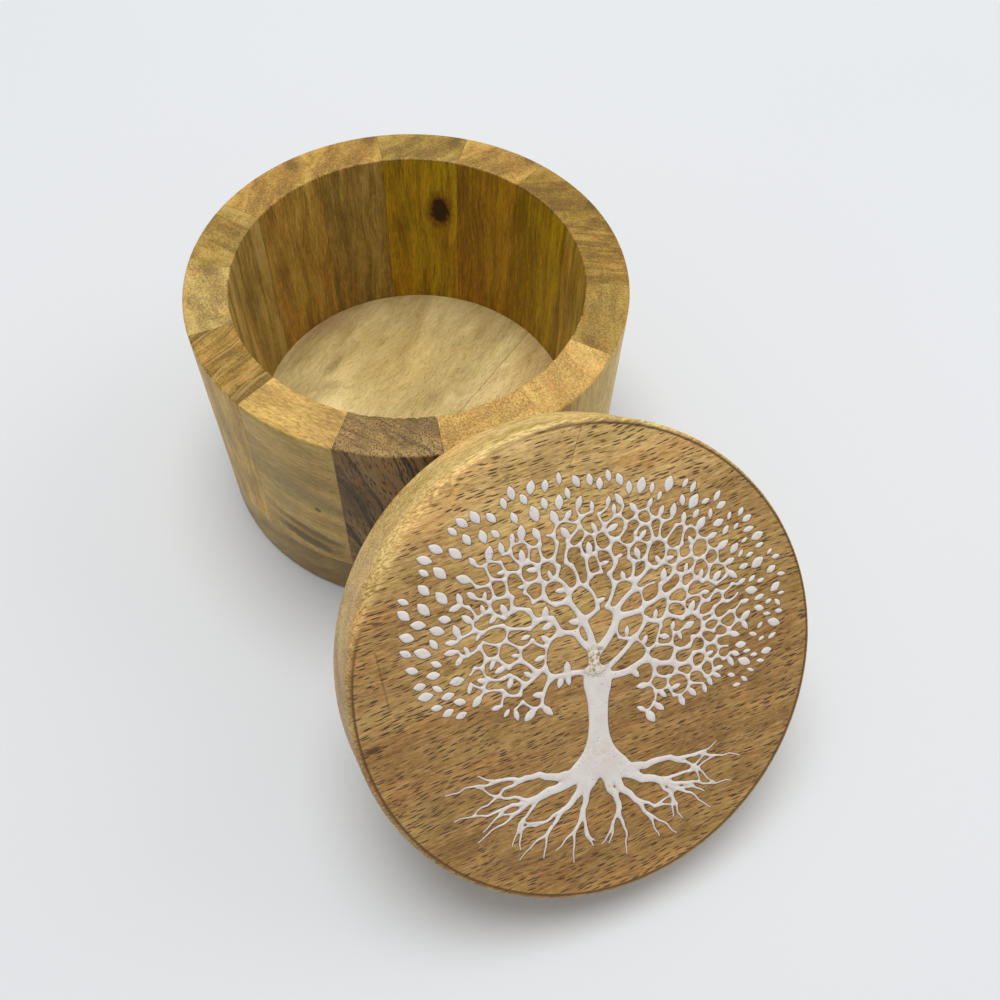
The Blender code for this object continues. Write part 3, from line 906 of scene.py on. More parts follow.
@dataclass
class Loops:
    """Closed outlines laid end to end: their points, and for each point the next one."""

    points: Array
    following: Array

    @classmethod
    def follow(cls, points: Array, following: Array, spacing: float,
               least: float) -> "Loops":
        """Order crossings into outlines and lay points evenly along each.

        Args:
            points: Places of the crossings.
            following: Number of the crossing that follows each.
            spacing: Distance between the new points.
            least: Length of the shortest outline that is kept.

        Returns:
            The outlines.
        """
        count, steps = len(points), following.tolist()
        order: list[int] = []
        heads: list[int] = []
        seen = [False] * count
        for node in range(count):
            if not seen[node]:
                heads.append(len(order))
            while not seen[node]:
                seen[node] = True
                order.append(node)
                node = steps[node]
        points, heads = points[order], np.array(heads)
        sizes = np.diff(np.append(heads, count))
        nexts = np.arange(count) + 1
        nexts[heads + sizes - 1] = heads
        runs = np.linalg.norm(points[nexts] - points, axis=1)
        travelled = np.concatenate([[0.0], np.cumsum(runs)])
        lengths = travelled[heads + sizes] - travelled[heads]
        kept = lengths > least
        counts = np.maximum(np.round(lengths[kept] / spacing).astype(int), 8)
        owner = np.repeat(np.arange(kept.sum()), counts)
        begins = np.concatenate([[0], np.cumsum(counts)[:-1]])
        share = (np.arange(counts.sum()) - begins[owner]) / counts[owner]
        reached = travelled[heads[kept]][owner] + share * lengths[kept][owner]
        run = np.clip(np.searchsorted(travelled, reached, side="right") - 1, 0, count - 1)
        part = ((reached - travelled[run]) / np.maximum(runs[run], 1e-9))[:, None]
        laid = points[run] * (1 - part) + points[nexts[run]] * part
        after = np.arange(len(laid)) + 1
        after[begins + counts - 1] = begins
        before = np.empty_like(after)
        before[after] = np.arange(len(after))
        laid = laid * 0.5 + (laid[after] + laid[before]) * 0.25
        return cls(laid, after)

    def __add__(self, other: "Loops") -> "Loops":
        """Both sets of outlines."""
        return Loops(np.concatenate([self.points, other.points]),
                     np.concatenate([self.following, other.following + len(self.points)]))

    def sides(self) -> Array:
        """The two point numbers of each side."""
        return np.stack([np.arange(len(self.points)), self.following], 1)

    def within(self, faces: Array, start: int) -> Array:
        """Say which triangles of a plane that is filled round the outlines lie inside them.

        A triangle that has a side of an outline is inside where it runs the same way, and
        outside where it runs the other way. The rest take after their neighbours, step by step.

        Args:
            faces: Corners of the triangles.
            start: Number of the outlines' first point among the plane's.

        Returns:
            Whether each triangle is inside.
        """
        first, second = self.sides().T + start
        base = int(faces.max()) + 1
        ahead = (faces * base + np.roll(faces, -1, axis=1)).ravel()
        back = (np.roll(faces, -1, axis=1) * base + faces).ravel()
        same, other = np.isin(ahead, first * base + second), np.isin(back, first * base + second)
        state = np.zeros(len(faces), int)
        state[np.flatnonzero(same) // 3] = 1
        state[np.flatnonzero(other) // 3] = -1
        order = np.argsort(ahead)
        spot = np.minimum(np.searchsorted(ahead, back, sorter=order), len(order) - 1)
        open_side = (ahead[order[spot]] == back) & ~same & ~other
        mine, theirs = np.flatnonzero(open_side) // 3, order[spot][open_side] // 3
        while True:
            reached = (state[mine] == 0) & (state[theirs] != 0)
            if not reached.any():
                return state > 0
            state[mine[reached]] = state[theirs[reached]]


def fill_plane(points: Sequence[Array], sides: Sequence[Array]) -> tuple[Array, Array]:
    """Fill a plane with triangles between sets of points, keeping the sides among them.

    Args:
        points: Sets of points.
        sides: Sides of each set, numbered from the set's own start.

    Returns:
        All the points, in their order, and the corners of the triangles.
    """
    starts = np.cumsum([0] + [len(part) for part in points])
    flat = np.concatenate(points)
    edges = np.concatenate([part + start for part, start in zip(sides, starts)])
    made = delaunay_2d_cdt([Vector(point) for point in flat.tolist()], edges.tolist(), [], 0, 1e-6)
    if len(made[0]) != len(flat):
        log.info("outlines that touch: %d points became %d", len(flat), len(made[0]))
    return np.array([tuple(point) for point in made[0]]), np.array(made[2])


def borders(faces: Array) -> tuple[Array, Array]:
    """Find the sides that only one of the triangles has.

    Args:
        faces: Corners of the triangles.

    Returns:
        First and second point of each side, in its triangle's direction.
    """
    first, second = faces.ravel(), np.roll(faces, -1, axis=1).ravel()
    base = int(faces.max()) + 1
    alone = ~np.isin(first * base + second, second * base + first)
    return first[alone], second[alone]


@dataclass
class Tree:
    """Carved tree: its trunk, roots and large leaves are those of the solids, and its crown is a
    net of twigs with a leaf at each loose end.

    Places are shares of the carving's reach, turned into millimetres by `place`.
    """

    reach: float = 43.0
    crown_centre: tuple[float, float] = (0.035, 0.233)
    crown_reach: tuple[float, float] = (0.942, 0.651)
    fork: tuple[float, float] = (0.014, -0.047)
    foot: tuple[float, float] = (0.035, -0.488)
    trunk_width: float = 4.6
    trunk_shape: tuple[tuple[float, float], ...] = (
        (-0.10, 1.0), (0.06, 1.45), (0.22, 1.0), (0.5, 0.87), (0.72, 1.12), (0.88, 1.95),
        (1.0, 3.3), (1.06, 3.0))
    roots: tuple[float, ...] = (184, 200, 218, 238, 260, 282, 304, 323, 340, 356)
    root_width: float = 2.2
    root_reach: tuple[float, float] = (0.733, 0.453)
    root_sway: float = 0.10
    root_fork: float = 26.0
    root_tip: float = 0.36          # width at a root's end
    root_seed: int = 4
    leaf_length: float = 3.0
    leaf_width: float = 1.8
    leaf_spacing: float = 1.6
    leaf_arc: tuple[float, float] = (-32.0, 212.0)
    leaf_band: tuple[float, float] = (0.80, 0.98)
    leaf_sway: float = 28.0
    leaf_count: int = 36
    leaf_tries: int = 4000
    leaf_seed: int = 11
    crown_seed: int = 47
    cell_tries: int = 12000
    cell_gaps: tuple[tuple[float, float], ...] = (          # by the distance from the neck
        (0, 6.2), (5, 5.0), (11, 3.3), (18, 2.3), (27, 1.9), (45, 1.8))
    net_reach: tuple[tuple[float, float], ...] = (          # by the direction, from straight down
        (0, 0.78), (50, 0.80), (80, 0.77), (120, 0.76), (180, 0.77), (240, 0.74), (275, 0.72),
        (310, 0.78), (360, 0.78))
    fork_room: float = 4.4          # round the fork and the neck, where no node lies
    bough_start: float = 6.2        # how far out a bough looks for its first node
    bough_width: tuple[float, float] = (0.53, 1.8)          # least and most
    bough_gain: float = 0.105       # what the nodes beyond add to it, with a power of their number
    bough_power: float = 0.56
    link_widths: tuple[float, float] = (0.60, 0.54)
    link_shares: tuple[float, float] = (0.74, 0.60)         # carved, between twigs or at loose ends
    small_tries: int = 5200
    small_arc: tuple[float, float] = (-40.0, 222.0)
    small_seed: int = 5
    pitch: float = 0.16
    least_gap: float = 0.4          # between the tree and a loose leaf

    def __post_init__(self) -> None:
        """Grow the tree and carve it into its two fields."""
        self.wood = Field(self.reach + 1.5, self.pitch)
        self.leaves = Field(self.reach + 1.5, self.pitch)
        self.large = self.large_leaves()
        for leaf in self.large:
            self.leaves.leaf(leaf)
        self.carve_trunk()
        self.carve_roots()
        self.carve_crown()
        self.wood.value = np.maximum(self.wood.value, self.least_gap - self.leaves.value)
        self.carve_small_leaves()

    def place(self, shares: Sequence[float]) -> Array:
        """Place on the carving, from its shares of the carving's reach."""
        return np.asarray(shares, float) * self.reach

    def on_ellipse(self, centre: Sequence[float], reach: Sequence[float], degrees: float,
                   share: float = 1.0) -> Array:
        """Point of an ellipse on the carving.

        Args:
            centre: Its centre, in shares of the carving's reach.
            reach: Its two half axes, in the same shares.
            degrees: Direction of the point.
            share: Share of the way to the ellipse.

        Returns:
            The point.
        """
        turn = math.radians(degrees)
        spread = np.array([math.cos(turn), math.sin(turn)])
        return self.place(centre) + self.place(reach) * share * spread

    @property
    def neck(self) -> Array:
        """Top of the trunk's neck, above the fork."""
        return self.place(self.fork) + (-0.9, 5.0)

    def large_leaves(self) -> list[Leaf]:
        """Lay the loose leaves that the solids have, tried in the same order and by one seed.

        Returns:
            The leaves.
        """
        chance = random.Random(self.leaf_seed)
        leaves: list[Leaf] = []
        for _ in range(self.leaf_tries):
            degrees = chance.uniform(*self.leaf_arc)
            share = math.sqrt(chance.uniform(self.leaf_band[0] ** 2, self.leaf_band[1] ** 2))
            size = chance.uniform(0.78, 1.18)
            sway = chance.uniform(-self.leaf_sway, self.leaf_sway)
            centre = self.on_ellipse(self.crown_centre, self.crown_reach, degrees, share)
            along = turned_by(unit(centre - self.place(self.fork)), sway)
            if all(self.clear(centre, along, size, other) for other in leaves):
                leaves.append(Leaf(centre, along, self.leaf_length * size,
                                   self.leaf_width * size))
            if len(leaves) == self.leaf_count:
                break
        return leaves

    def clear(self, centre: Array, along: Array, size: float, other: Leaf) -> bool:
        """Say whether a new large leaf keeps its spacing from one that is already there.

        Args:
            centre: Middle of the new leaf.
            along: Its direction.
            size: Its size, by the usual.
            other: The leaf that is there.

        Returns:
            Whether it does, seen along both leaves.
        """
        apart = other.centre - centre
        for direction in (along, other.along):
            length = (self.leaf_length * size + other.length) / 2 + self.leaf_spacing
            width = (self.leaf_width * size + other.width) / 2 + self.leaf_spacing
            down = apart @ direction
            over = np.linalg.norm(apart - direction * down)
            if (down / length) ** 2 + (over / width) ** 2 < 1.0:
                return False
        return True

    def carve_trunk(self) -> None:
        """Carve the trunk, whose width follows its shape from the fork to the foot."""
        fork, foot = self.place(self.fork), self.place(self.foot)
        shares = np.linspace(self.trunk_shape[0][0], self.trunk_shape[-1][0], 41)
        known = np.array(self.trunk_shape)
        wide = np.interp(shares, known[:, 0], known[:, 1])
        soft = np.convolve(np.pad(wide, 3, mode="edge"), np.full(7, 1 / 7), mode="valid")
        half = soft * self.trunk_width / 2
        middle = fork + (foot - fork) * shares[:, None]
        along = unit(foot - fork)
        across = np.array([-along[1], along[0]])
        uneven = 0.12 * ripple(shares * 3, shares * 0, 5)
        right = middle + across * (half + uneven)[:, None]
        left = middle - across * (half - uneven)[:, None]
        self.wood.outline(np.concatenate([right, left[::-1]]), 0.3)

    def carve_roots(self) -> None:
        """Carve the roots: each sways to its end and parts into finer ones on its way."""
        foot = self.place(self.foot)
        self.chance = np.random.default_rng(self.root_seed)
        for number, degrees in enumerate(self.roots):
            end = self.on_ellipse(self.foot, self.root_reach, degrees)
            out = math.cos(math.radians(degrees))
            start = foot + np.array([out * self.trunk_width, -self.trunk_width / 4])
            sway = self.root_sway if number % 2 else -self.root_sway
            side = np.array([start[1] - end[1], end[0] - start[0]]) * sway
            path = self.wavy(bend(start, (start + end) / 2 + side, end, 20), 0.28)
            thin = np.linspace(1, 0, len(path)) ** 1.6
            self.wood.stroke(path, self.root_tip + (self.root_width - self.root_tip) * thin, 0.6)
            parting, turn = path[8], -math.copysign(self.root_fork, sway)
            fork_end = parting + turned_by(end - parting, turn) * 0.75
            fork = bend(parting, (parting + fork_end) / 2 + side * 0.4, fork_end, 12)
            fork = self.wavy(fork, 0.3)
            self.wood.stroke(fork, np.linspace(self.root_width * 0.42, self.root_tip, len(fork)),
                             0.5)
            for parent, begin, lean in ((path, 12, -turn), (fork, 6, turn)):
                if self.chance.uniform() < 0.8:
                    self.carve_fine_root(parent[begin], parent[begin + 2], lean)

    def carve_fine_root(self, start: Array, ahead: Array, lean: float) -> None:
        """Carve a fine root off another.

        Args:
            start: Place on the other, where it starts.
            ahead: Place on the other a little further on.
            lean: Angle that it leaves at, in degrees.
        """
        run = unit(ahead - start)
        length = self.chance.uniform(3.6, 6.4)
        tip = start + turned_by(run, 1.15 * lean) * length
        middle = start + turned_by(run, 0.8 * lean) * length * 0.5
        fine = self.wavy(bend(start, middle, tip, 8), 0.2)
        self.wood.stroke(fine, np.linspace(0.72, 0.34, len(fine)), 0.4)

    def wavy(self, path: Array, swing: float) -> Array:
        """Sway a path from side to side by two sine waves, which grow from nothing at its start.

        Args:
            path: Points of the path.
            swing: Height of the waves.

        Returns:
            The swaying path.
        """
        run = np.concatenate([[0.0], np.cumsum(np.linalg.norm(np.diff(path, axis=0), axis=1))])
        along = unit(np.gradient(path, axis=0))
        across = np.stack([-along[:, 1], along[:, 0]], 1)
        rate, start = self.chance.uniform(0.55, 0.95), self.chance.uniform(0, math.tau)
        swings = np.sin(run * rate + start) + 0.5 * np.sin(run * rate * 2.3 + 2 * start)
        ease = np.clip(run / 3.0, 0, 1)
        return path + across * (swing * swings * ease)[:, None]

    def in_crown(self, points: Array) -> Array:
        """Say which places lie where the net of twigs may grow.

        Args:
            points: Places on the carving.

        Returns:
            Whether each place is inside.
        """
        offset = (points - self.place(self.crown_centre)) / self.place(self.crown_reach)
        bearing = np.degrees(np.arctan2(offset[:, 1], offset[:, 0]))
        limit = np.interp((bearing + 90) % 360, *np.array(self.net_reach).T)
        floor = -11.5 + 0.05 * np.abs(points[:, 0])
        hollow = np.hypot((points[:, 0] - 0.6) / 10.0, (points[:, 1] + 9.0) / 6.5) < 1.0
        inside = np.linalg.norm(offset, axis=1) < limit
        for leaf in self.large:
            inside &= np.linalg.norm(points - leaf.centre, axis=1) > 2.6
        return inside & (points[:, 1] > floor) & ~hollow

    def cells(self) -> Array:
        """Middles of the net's cells: wide and long by the fork, small at the crown's edge.

        Returns:
            Their places, in a region wider than the crown.
        """
        centre, spread = self.place(self.crown_centre), self.place(self.crown_reach)
        tries = centre + spread * self.chance.uniform(-1.1, 1.1, (self.cell_tries, 2))
        offset = tries - self.neck
        away = np.linalg.norm(offset, axis=1)
        gap = np.interp(away, *np.array(self.cell_gaps).T)
        gap = gap * self.chance.uniform(0.8, 1.35, len(gap))
        along = unit(offset)
        kept: list[int] = []
        for k in range(len(tries)):
            apart = tries[kept] - tries[k] if kept else np.array([[99.0, 0.0]])
            down = apart @ along[k]
            squared = (apart ** 2).sum(1) - 0.70 * down ** 2
            if squared.min() > gap[k] ** 2:
                kept.append(k)
        return tries[kept]

    def net(self) -> tuple[Array, Array]:
        """Lay the net of twigs along the borders of the cells.

        The middles of the cells are joined into triangles. Each triangle gives a node, and each
        side that two triangles share gives the twig between their nodes.

        Returns:
            Places of the nodes, and the two nodes of each twig.
        """
        middles = self.cells()
        made = delaunay_2d_cdt([Vector(p) for p in middles.tolist()], [], [], 0, 1e-6)
        places = np.array([tuple(p) for p in made[0]])
        faces = np.array(made[2])
        a, b, c = (places[faces[:, k]] for k in range(3))
        ab, ac = b - a, c - a
        area = 2 * (ab[:, 0] * ac[:, 1] - ab[:, 1] * ac[:, 0])
        b2, c2 = (ab ** 2).sum(1), (ac ** 2).sum(1)
        round_centre = a + np.stack([ac[:, 1] * b2 - ab[:, 1] * c2,
                                     ab[:, 0] * c2 - ac[:, 0] * b2], 1) / area[:, None]
        nodes = 0.45 * round_centre + 0.55 * (a + b + c) / 3
        sides = np.sort(np.stack([faces, np.roll(faces, -1, axis=1)], -1).reshape(-1, 2), axis=1)
        keys = sides[:, 0] * len(places) + sides[:, 1]
        order = np.argsort(keys, kind="stable")
        same = keys[order][1:] == keys[order][:-1]
        twigs = np.stack([order[:-1][same] // 3, order[1:][same] // 3], 1)
        return nodes, twigs

    def carve_crown(self) -> None:
        """Carve the net of twigs, thick along the ways that lead to many of them, and its leaves.

        Each node is reached from the fork by the shortest way. A twig on such a way is a part of
        a bough, as wide as the number of nodes beyond it asks for, and the others are fine links.
        """
        self.chance = np.random.default_rng(self.crown_seed)
        nodes, twigs = self.net()
        free = self.in_crown(nodes)
        for place in (self.neck, self.place(self.fork)):
            free &= np.linalg.norm(nodes - place, axis=1) > self.fork_room
        starts = self.neck_starts()
        count = len(nodes)
        nodes = np.concatenate([nodes, [start for start, _ in starts]])
        joins: list[tuple[int, int]] = []
        for number, (start, degrees) in enumerate(starts):
            turn = math.radians(degrees)
            aim = start + self.bough_start * np.array([math.cos(turn), math.sin(turn)])
            apart = np.where(free, np.linalg.norm(nodes[:count] - aim, axis=1), 99.0)
            joins.append((count + number, int(apart.argmin())))
        inner = twigs[free[twigs].all(1)]
        edge = twigs[free[twigs].sum(1) == 1]
        before, load, order = self.shortest_ways(nodes, inner, joins)
        self.wood.stroke(np.array([self.place(self.fork), (self.place(self.fork) + self.neck) / 2
                                   + (-0.3, 0.0), self.neck]), np.array([3.2, 2.5, 2.1]), 0.8)
        ends = np.zeros(len(nodes), int)
        least, most = self.bough_width
        for child in order:
            parent = before[child]
            wide = np.array([min(most, least + self.bough_gain * load[k] ** self.bough_power)
                             for k in (parent, child)])
            if parent >= count:
                wide[0] = wide[1] * 1.35
            self.twig(nodes[parent], nodes[child], wide)
            ends[[parent, child]] += 1
        spare = [k for k, (a, b) in enumerate(inner) if before[a] != b and before[b] != a]
        for k in spare:
            a, b = inner[k]
            reached = load[a] > 0 and load[b] > 0
            share = self.link_shares[0 if min(ends[a], ends[b]) > 1 else 1]
            if reached and self.chance.uniform() < share:
                self.twig(nodes[a], nodes[b], np.array(self.link_widths))
                ends[[a, b]] += 1
        self.leaf_edge(nodes, edge, free, load, ends, before)
        self.leaf_cells(nodes, inner, load)

    def neck_starts(self) -> list[tuple[Array, float]]:
        """Say where the boughs leave the trunk and its neck.

        Returns:
            Place of each, and the direction that it takes.
        """
        fork = self.place(self.fork)
        return [(fork + (-1.2, 0.3), 178.0), (fork + (-0.9, 1.8), 152.0), (self.neck, 134.0),
                (self.neck, 96.0), (self.neck + (0.3, -0.6), 62.0), (fork + (1.2, 0.8), 34.0),
                (fork + (1.3, 0.1), 4.0)]

    def twig(self, start: Array, end: Array, widths: Array) -> None:
        """Carve a twig between two nodes, bowed a little to one side.

        Args:
            start: Place of the one.
            end: Place of the other.
            widths: Width at each.
        """
        run = end - start
        side = np.array([-run[1], run[0]]) * self.chance.uniform(-0.22, 0.22)
        path = bend(start, (start + end) / 2 + side, end, 4)
        along = np.linspace(0, 1, 5)
        waist = 1 - 0.16 * np.sin(math.pi * along)
        self.wood.stroke(path, (widths[0] + (widths[1] - widths[0]) * along) * waist, 0.55)

    def shortest_ways(self, nodes: Array, twigs: Array, joins: list[tuple[int, int]]
                      ) -> tuple[Array, Array, list[int]]:
        """Find the shortest way to each node from the places where the boughs start.

        Args:
            nodes: Places of the nodes.
            twigs: The two nodes of each twig.
            joins: Start and first node of each bough.

        Returns:
            The node before each, the number of nodes that each carries, and the reached nodes
            in the order of their distance.
        """
        near: dict[int, list[int]] = {}
        for a, b in twigs.tolist():
            near.setdefault(a, []).append(b)
            near.setdefault(b, []).append(a)
        before = np.full(len(nodes), -1)
        queue = [(float(np.linalg.norm(nodes[b] - nodes[a])), b, a) for a, b in joins]
        heapq.heapify(queue)
        order: list[int] = []
        done: set[int] = set()
        while queue:
            travelled, node, last = heapq.heappop(queue)
            if node in done:
                continue
            done.add(node)
            order.append(node)
            before[node] = last
            for other in near.get(node, ()):
                if other not in done:
                    run = float(np.linalg.norm(nodes[other] - nodes[node]))
                    heapq.heappush(queue, (travelled + run + 0.25, other, node))
        load = np.zeros(len(nodes))
        for node in reversed(order):
            load[node] += 1.0
            load[before[node]] += load[node]
        return before, load, order

    def leaf_edge(self, nodes: Array, edge: Array, free: Array, load: Array,
                  ends: Array, before: Array) -> None:
        """Carve leaves outwards from the net's outer nodes, and from each loose end inside it.

        Args:
            nodes: Places of the nodes.
            edge: The two nodes of each twig that the net's edge cuts.
            free: Whether each node is in the net.
            load: Number of nodes that each carries, 0 where it is not reached.
            ends: Number of twigs that meet at each node.
            before: Node before each on its way from the fork.
        """
        buds: list[tuple[int, Array]] = []
        chance = self.chance
        for a, b in edge.tolist():
            node, beyond = (a, b) if free[a] else (b, a)
            if load[node] > 0:
                buds.append((node, unit(nodes[beyond] - nodes[node])))
        for node in np.flatnonzero((ends == 1) & (load > 0)).tolist():
            buds.append((node, unit(nodes[node] - nodes[before[node]])))
        for node, along in buds:
            for lean, least in ((chance.normal(0, 9), 0.0), (42.0, 0.25), (-42.0, 0.25)):
                if chance.uniform() < least:
                    continue
                length = chance.uniform(2.2, 3.3)
                turned = turned_by(along, lean)
                leaf = Leaf(nodes[node] + turned * (0.42 * length + 0.15), turned, length,
                            length * chance.uniform(0.46, 0.58))
                self.try_leaf(leaf, 0.25)

    def leaf_cells(self, nodes: Array, twigs: Array, load: Array) -> None:
        """Carve small leaves that poke into the wider cells of the net from its twigs.

        Args:
            nodes: Places of the nodes.
            twigs: The two nodes of each twig.
            load: Number of nodes that each carries, 0 where it is not reached.
        """
        chance, rounds = self.chance, 5
        for _ in range(rounds):
            for a, b in chance.permutation(twigs).tolist():
                if load[a] == 0 or load[b] == 0:
                    continue
                start = nodes[a] + (nodes[b] - nodes[a]) * chance.uniform(0.1, 0.9)
                along = turned_by(unit(start - self.neck), chance.uniform(-75, 75))
                length = chance.uniform(1.8, 2.9)
                leaf = Leaf(start + along * (length * 0.5 + 0.1), along, length,
                            length * chance.uniform(0.46, 0.58))
                self.try_leaf(leaf, 0.05)

    def try_leaf(self, leaf: Leaf, behind: float) -> None:
        """Carve a leaf on the net where its outer part has room.

        Args:
            leaf: The leaf.
            behind: Share of its length, from its middle on, that may touch the net.
        """
        outer = leaf.rim(0.05)
        outer = outer[(outer - leaf.centre) @ leaf.along > -behind * leaf.length]
        if self.wood.at(outer).min() > 0.32 and self.leaves.at(outer).min() > self.least_gap:
            self.wood.leaf(leaf, 0.3)

    def carve_small_leaves(self) -> None:
        """Carve the loose leaves between the large ones, bigger on the left, where there's room."""
        chance = random.Random(self.small_seed)
        for _ in range(self.small_tries):
            degrees = chance.uniform(*self.small_arc)
            left = math.cos(math.radians(degrees))
            inner = 0.70 if left < -0.3 else 0.74
            share = math.sqrt(chance.uniform(inner ** 2, 0.985 ** 2))
            centre = self.on_ellipse(self.crown_centre, self.crown_reach, degrees, share)
            length = chance.uniform(2.0, 3.0) - 0.3 * left
            ratio = 0.60 if left < -0.25 else 0.52
            along = turned_by(unit(centre - self.place(self.fork)), chance.gauss(0, 17))
            leaf = Leaf(centre, along, length, length * chance.uniform(ratio - 0.06, ratio + 0.06))
            rim = leaf.rim()
            if self.wood.at(rim).min() > 0.55 and self.leaves.at(rim).min() > 0.50:
                self.leaves.leaf(leaf)


# Sub-assemblies


@dataclass
class LidFrame:
    """Frame of the leaning lid: the middle of its underside, turned about X by its lean."""

    box_radius: float = 0.050
    box_height: float = 0.061
    plug_radius: float = 0.03925
    plug_edge: float = 0.0006
    plug_depth: float = 0.008
    below_rim: float = 0.0064
    gap: float = 0.0003

    def __post_init__(self) -> None:
        """Lean the plug's upper edge on the wall and stand its lower edge on the table.

        Over the run between the two roundings of the plug the lid rises from one to the other,
        so the sine of the lean is that rise over that run.
        """
        up, back = self.plug_radius - self.plug_edge, self.plug_depth - self.plug_edge
        top = self.box_height - self.below_rim
        self.lean = math.asin((top - self.plug_edge) / (2 * up))
        sine, cosine = math.sin(self.lean), math.cos(self.lean)
        height = top - up * sine + back * cosine
        distance = self.box_radius + self.gap + self.plug_edge + up * cosine + back * sine
        self.centre = np.array([0.0, -distance, height])
        self.normal = np.array([0.0, -sine, cosine])
        self.up = np.array([0.0, cosine, sine])

    def place(self, across: Array | float, up: Array | float, height: Array | float) -> Array:
        """Place points on the leaning lid.

        Args:
            across: Millimetres across it.
            up: Millimetres up its face.
            height: Millimetres out of its underside.

        Returns:
            The points in the frame of the whole.
        """
        across, up, height = np.broadcast_arrays(across, up, height)
        flat = np.stack([across, np.zeros_like(across), np.zeros_like(across)], -1)
        return self.centre + MM * (flat + up[..., None] * self.up + height[..., None] * self.normal)


@dataclass
class StaveRing:
    """Ring of glued staves, each its own piece with its own wood."""

    radius: float = 50.0
    wall: float = 10.0
    height: float = 61.0
    foot: float = 14.05
    outer_round: float = 0.6
    inner_round: float = 0.35
    joint: float = 0.015            # half the glue line
    groove: float = 0.035           # how far the joint's edges are eased
    first_joint: float = 178.2
    arcs: tuple[float, ...] = (26.0, 26.5, 26.0, 26.5, 26.0, 25.0, 27.0, 26.0, 24.0, 26.5, 23.5,
                               28.0, 24.0, 25.0)
    columns: int = 46
    chip_count: int = 150           # tear-outs round the inner edge
    chip_half: tuple[float, float] = (0.25, 1.25)           # their half widths, in degrees
    chip_depth: tuple[float, float] = (0.05, 0.42)

    def section(self) -> Array:
        """Closed section of the wall: up the outside, over the rim and down the inside.

        Returns:
            Radius and height of its points.
        """
        inner = self.radius - self.wall
        out = np.stack([np.full(14, self.radius), np.linspace(self.foot + 0.12, self.height
                                                              - self.outer_round, 14)], 1)
        over = arc((self.radius - self.outer_round, self.height - self.outer_round),
                   self.outer_round, 0, 90, 6)
        rim = np.stack([np.linspace(self.radius - self.outer_round, inner + self.inner_round, 9),
                        np.full(9, self.height)], 1)[1:-1]
        inward = arc((inner + self.inner_round, self.height - self.inner_round),
                     self.inner_round, 90, 180, 5)
        drops = np.concatenate([[0.25, 0.55, 1.0, 1.7], np.linspace(3.0, 44.0, 13)])
        down = np.stack([np.full(17, inner), self.height - self.inner_round - drops], 1)
        foot = np.array([[inner, self.foot], [inner + 3.3, self.foot], [inner + 6.6, self.foot],
                         [self.radius - 0.12, self.foot]])
        return np.concatenate([out, over[1:], rim, inward, down, foot])

    def chips(self, angle: Array) -> Array:
        """Depth of the small tear-outs along the inner edge, in millimetres.

        Each tear-out is a rounded notch: its depth times the root of one minus the square of
        the place across it. The deepest at each angle counts.

        Args:
            angle: The angles.

        Returns:
            Depth at each.
        """
        chance, count = np.random.default_rng(8), self.chip_count
        middle = chance.uniform(0, math.tau, count)
        half = np.radians(chance.uniform(*self.chip_half, count))
        depth = chance.uniform(*self.chip_depth, count)
        depth = depth * (0.55 + 0.45 * np.cos(2 * (middle - 1.9)))
        across = np.abs((angle[:, None] - middle + math.pi) % math.tau - math.pi) / half
        return (depth * np.sqrt(np.clip(1 - across ** 2, 0, 1))).max(1)

    def stave(self, start: float, span: float, number: int) -> Shell:
        """Carry the section round the stave's arc.

        Args:
            start: Angle at which it starts, in radians.
            span: Its arc, in radians.
            number: Its number, which seeds its unevenness.

        Returns:
            The closed surface.
        """
        section = self.section()
        middle = section.mean(0)
        edge = self.joint / (self.radius - self.wall / 2)
        ease = 0.06 / self.radius
        ends = np.array([edge, edge + ease, edge + 3.2 * ease])
        body = np.linspace(edge + 6 * ease, span - edge - 6 * ease, self.columns)
        angle = start + np.concatenate([ends, body, (span - ends)[::-1]])
        inset = np.zeros(len(angle))
        inset[[0, -1]] = self.groove
        toward = middle - section
        toward /= np.maximum(np.abs(toward).max(1, keepdims=True), 1e-9)
        toward = np.sign(toward) * (np.abs(toward) > 0.2)
        r = section[:, 0, None] + toward[:, 0, None] * inset
        z = section[:, 1, None] + toward[:, 1, None] * inset * (section[:, 1, None] > 20)
        inner = self.radius - self.wall
        on_wall = np.clip(1 - np.hypot(section[:, 0] - inner, section[:, 1] - self.height) / 1.5,
                          0, 1) ** 1.2
        chips = self.chips(angle)
        r = r + on_wall[:, None] * chips
        z = z - on_wall[:, None] * chips * 0.6
        uneven = ripple(angle[None, :] * 12, z / 9, number) * 0.05
        inside = np.clip((inner + 2 - section[:, 0]) / 2, 0, 1)[:, None]
        outside = np.clip((section[:, 0] - self.radius + 2) / 2, 0, 1)[:, None]
        r = r + uneven * inside - np.abs(uneven) * outside
        points = MM * np.stack([r * np.cos(angle), r * np.sin(angle), z], -1)
        rows, columns = r.shape
        hubs = points[:, [0, -1]].mean(0)
        shell = Shell(np.concatenate([points.reshape(-1, 3), hubs]))
        mark = np.zeros(columns)
        mark[[0, -1]] = 0.35
        skin = lattice(rows, columns, wrap_rows=True)
        lining = (section[:, 0] < inner + 0.05) & (section[:, 1] < self.height - self.inner_round)
        outside = (section[:, 0] > self.radius - 0.2) & (section[:, 1] < self.height - 0.2)
        shell.add(skin, mark[skin % columns], (1.0 * lining - outside)[skin // columns])
        first = np.arange(rows) * columns
        shell.add(fan(first, rows * columns), 0.6)
        shell.add(fan(first[::-1] + columns - 1, rows * columns + 1), 0.6)
        return shell

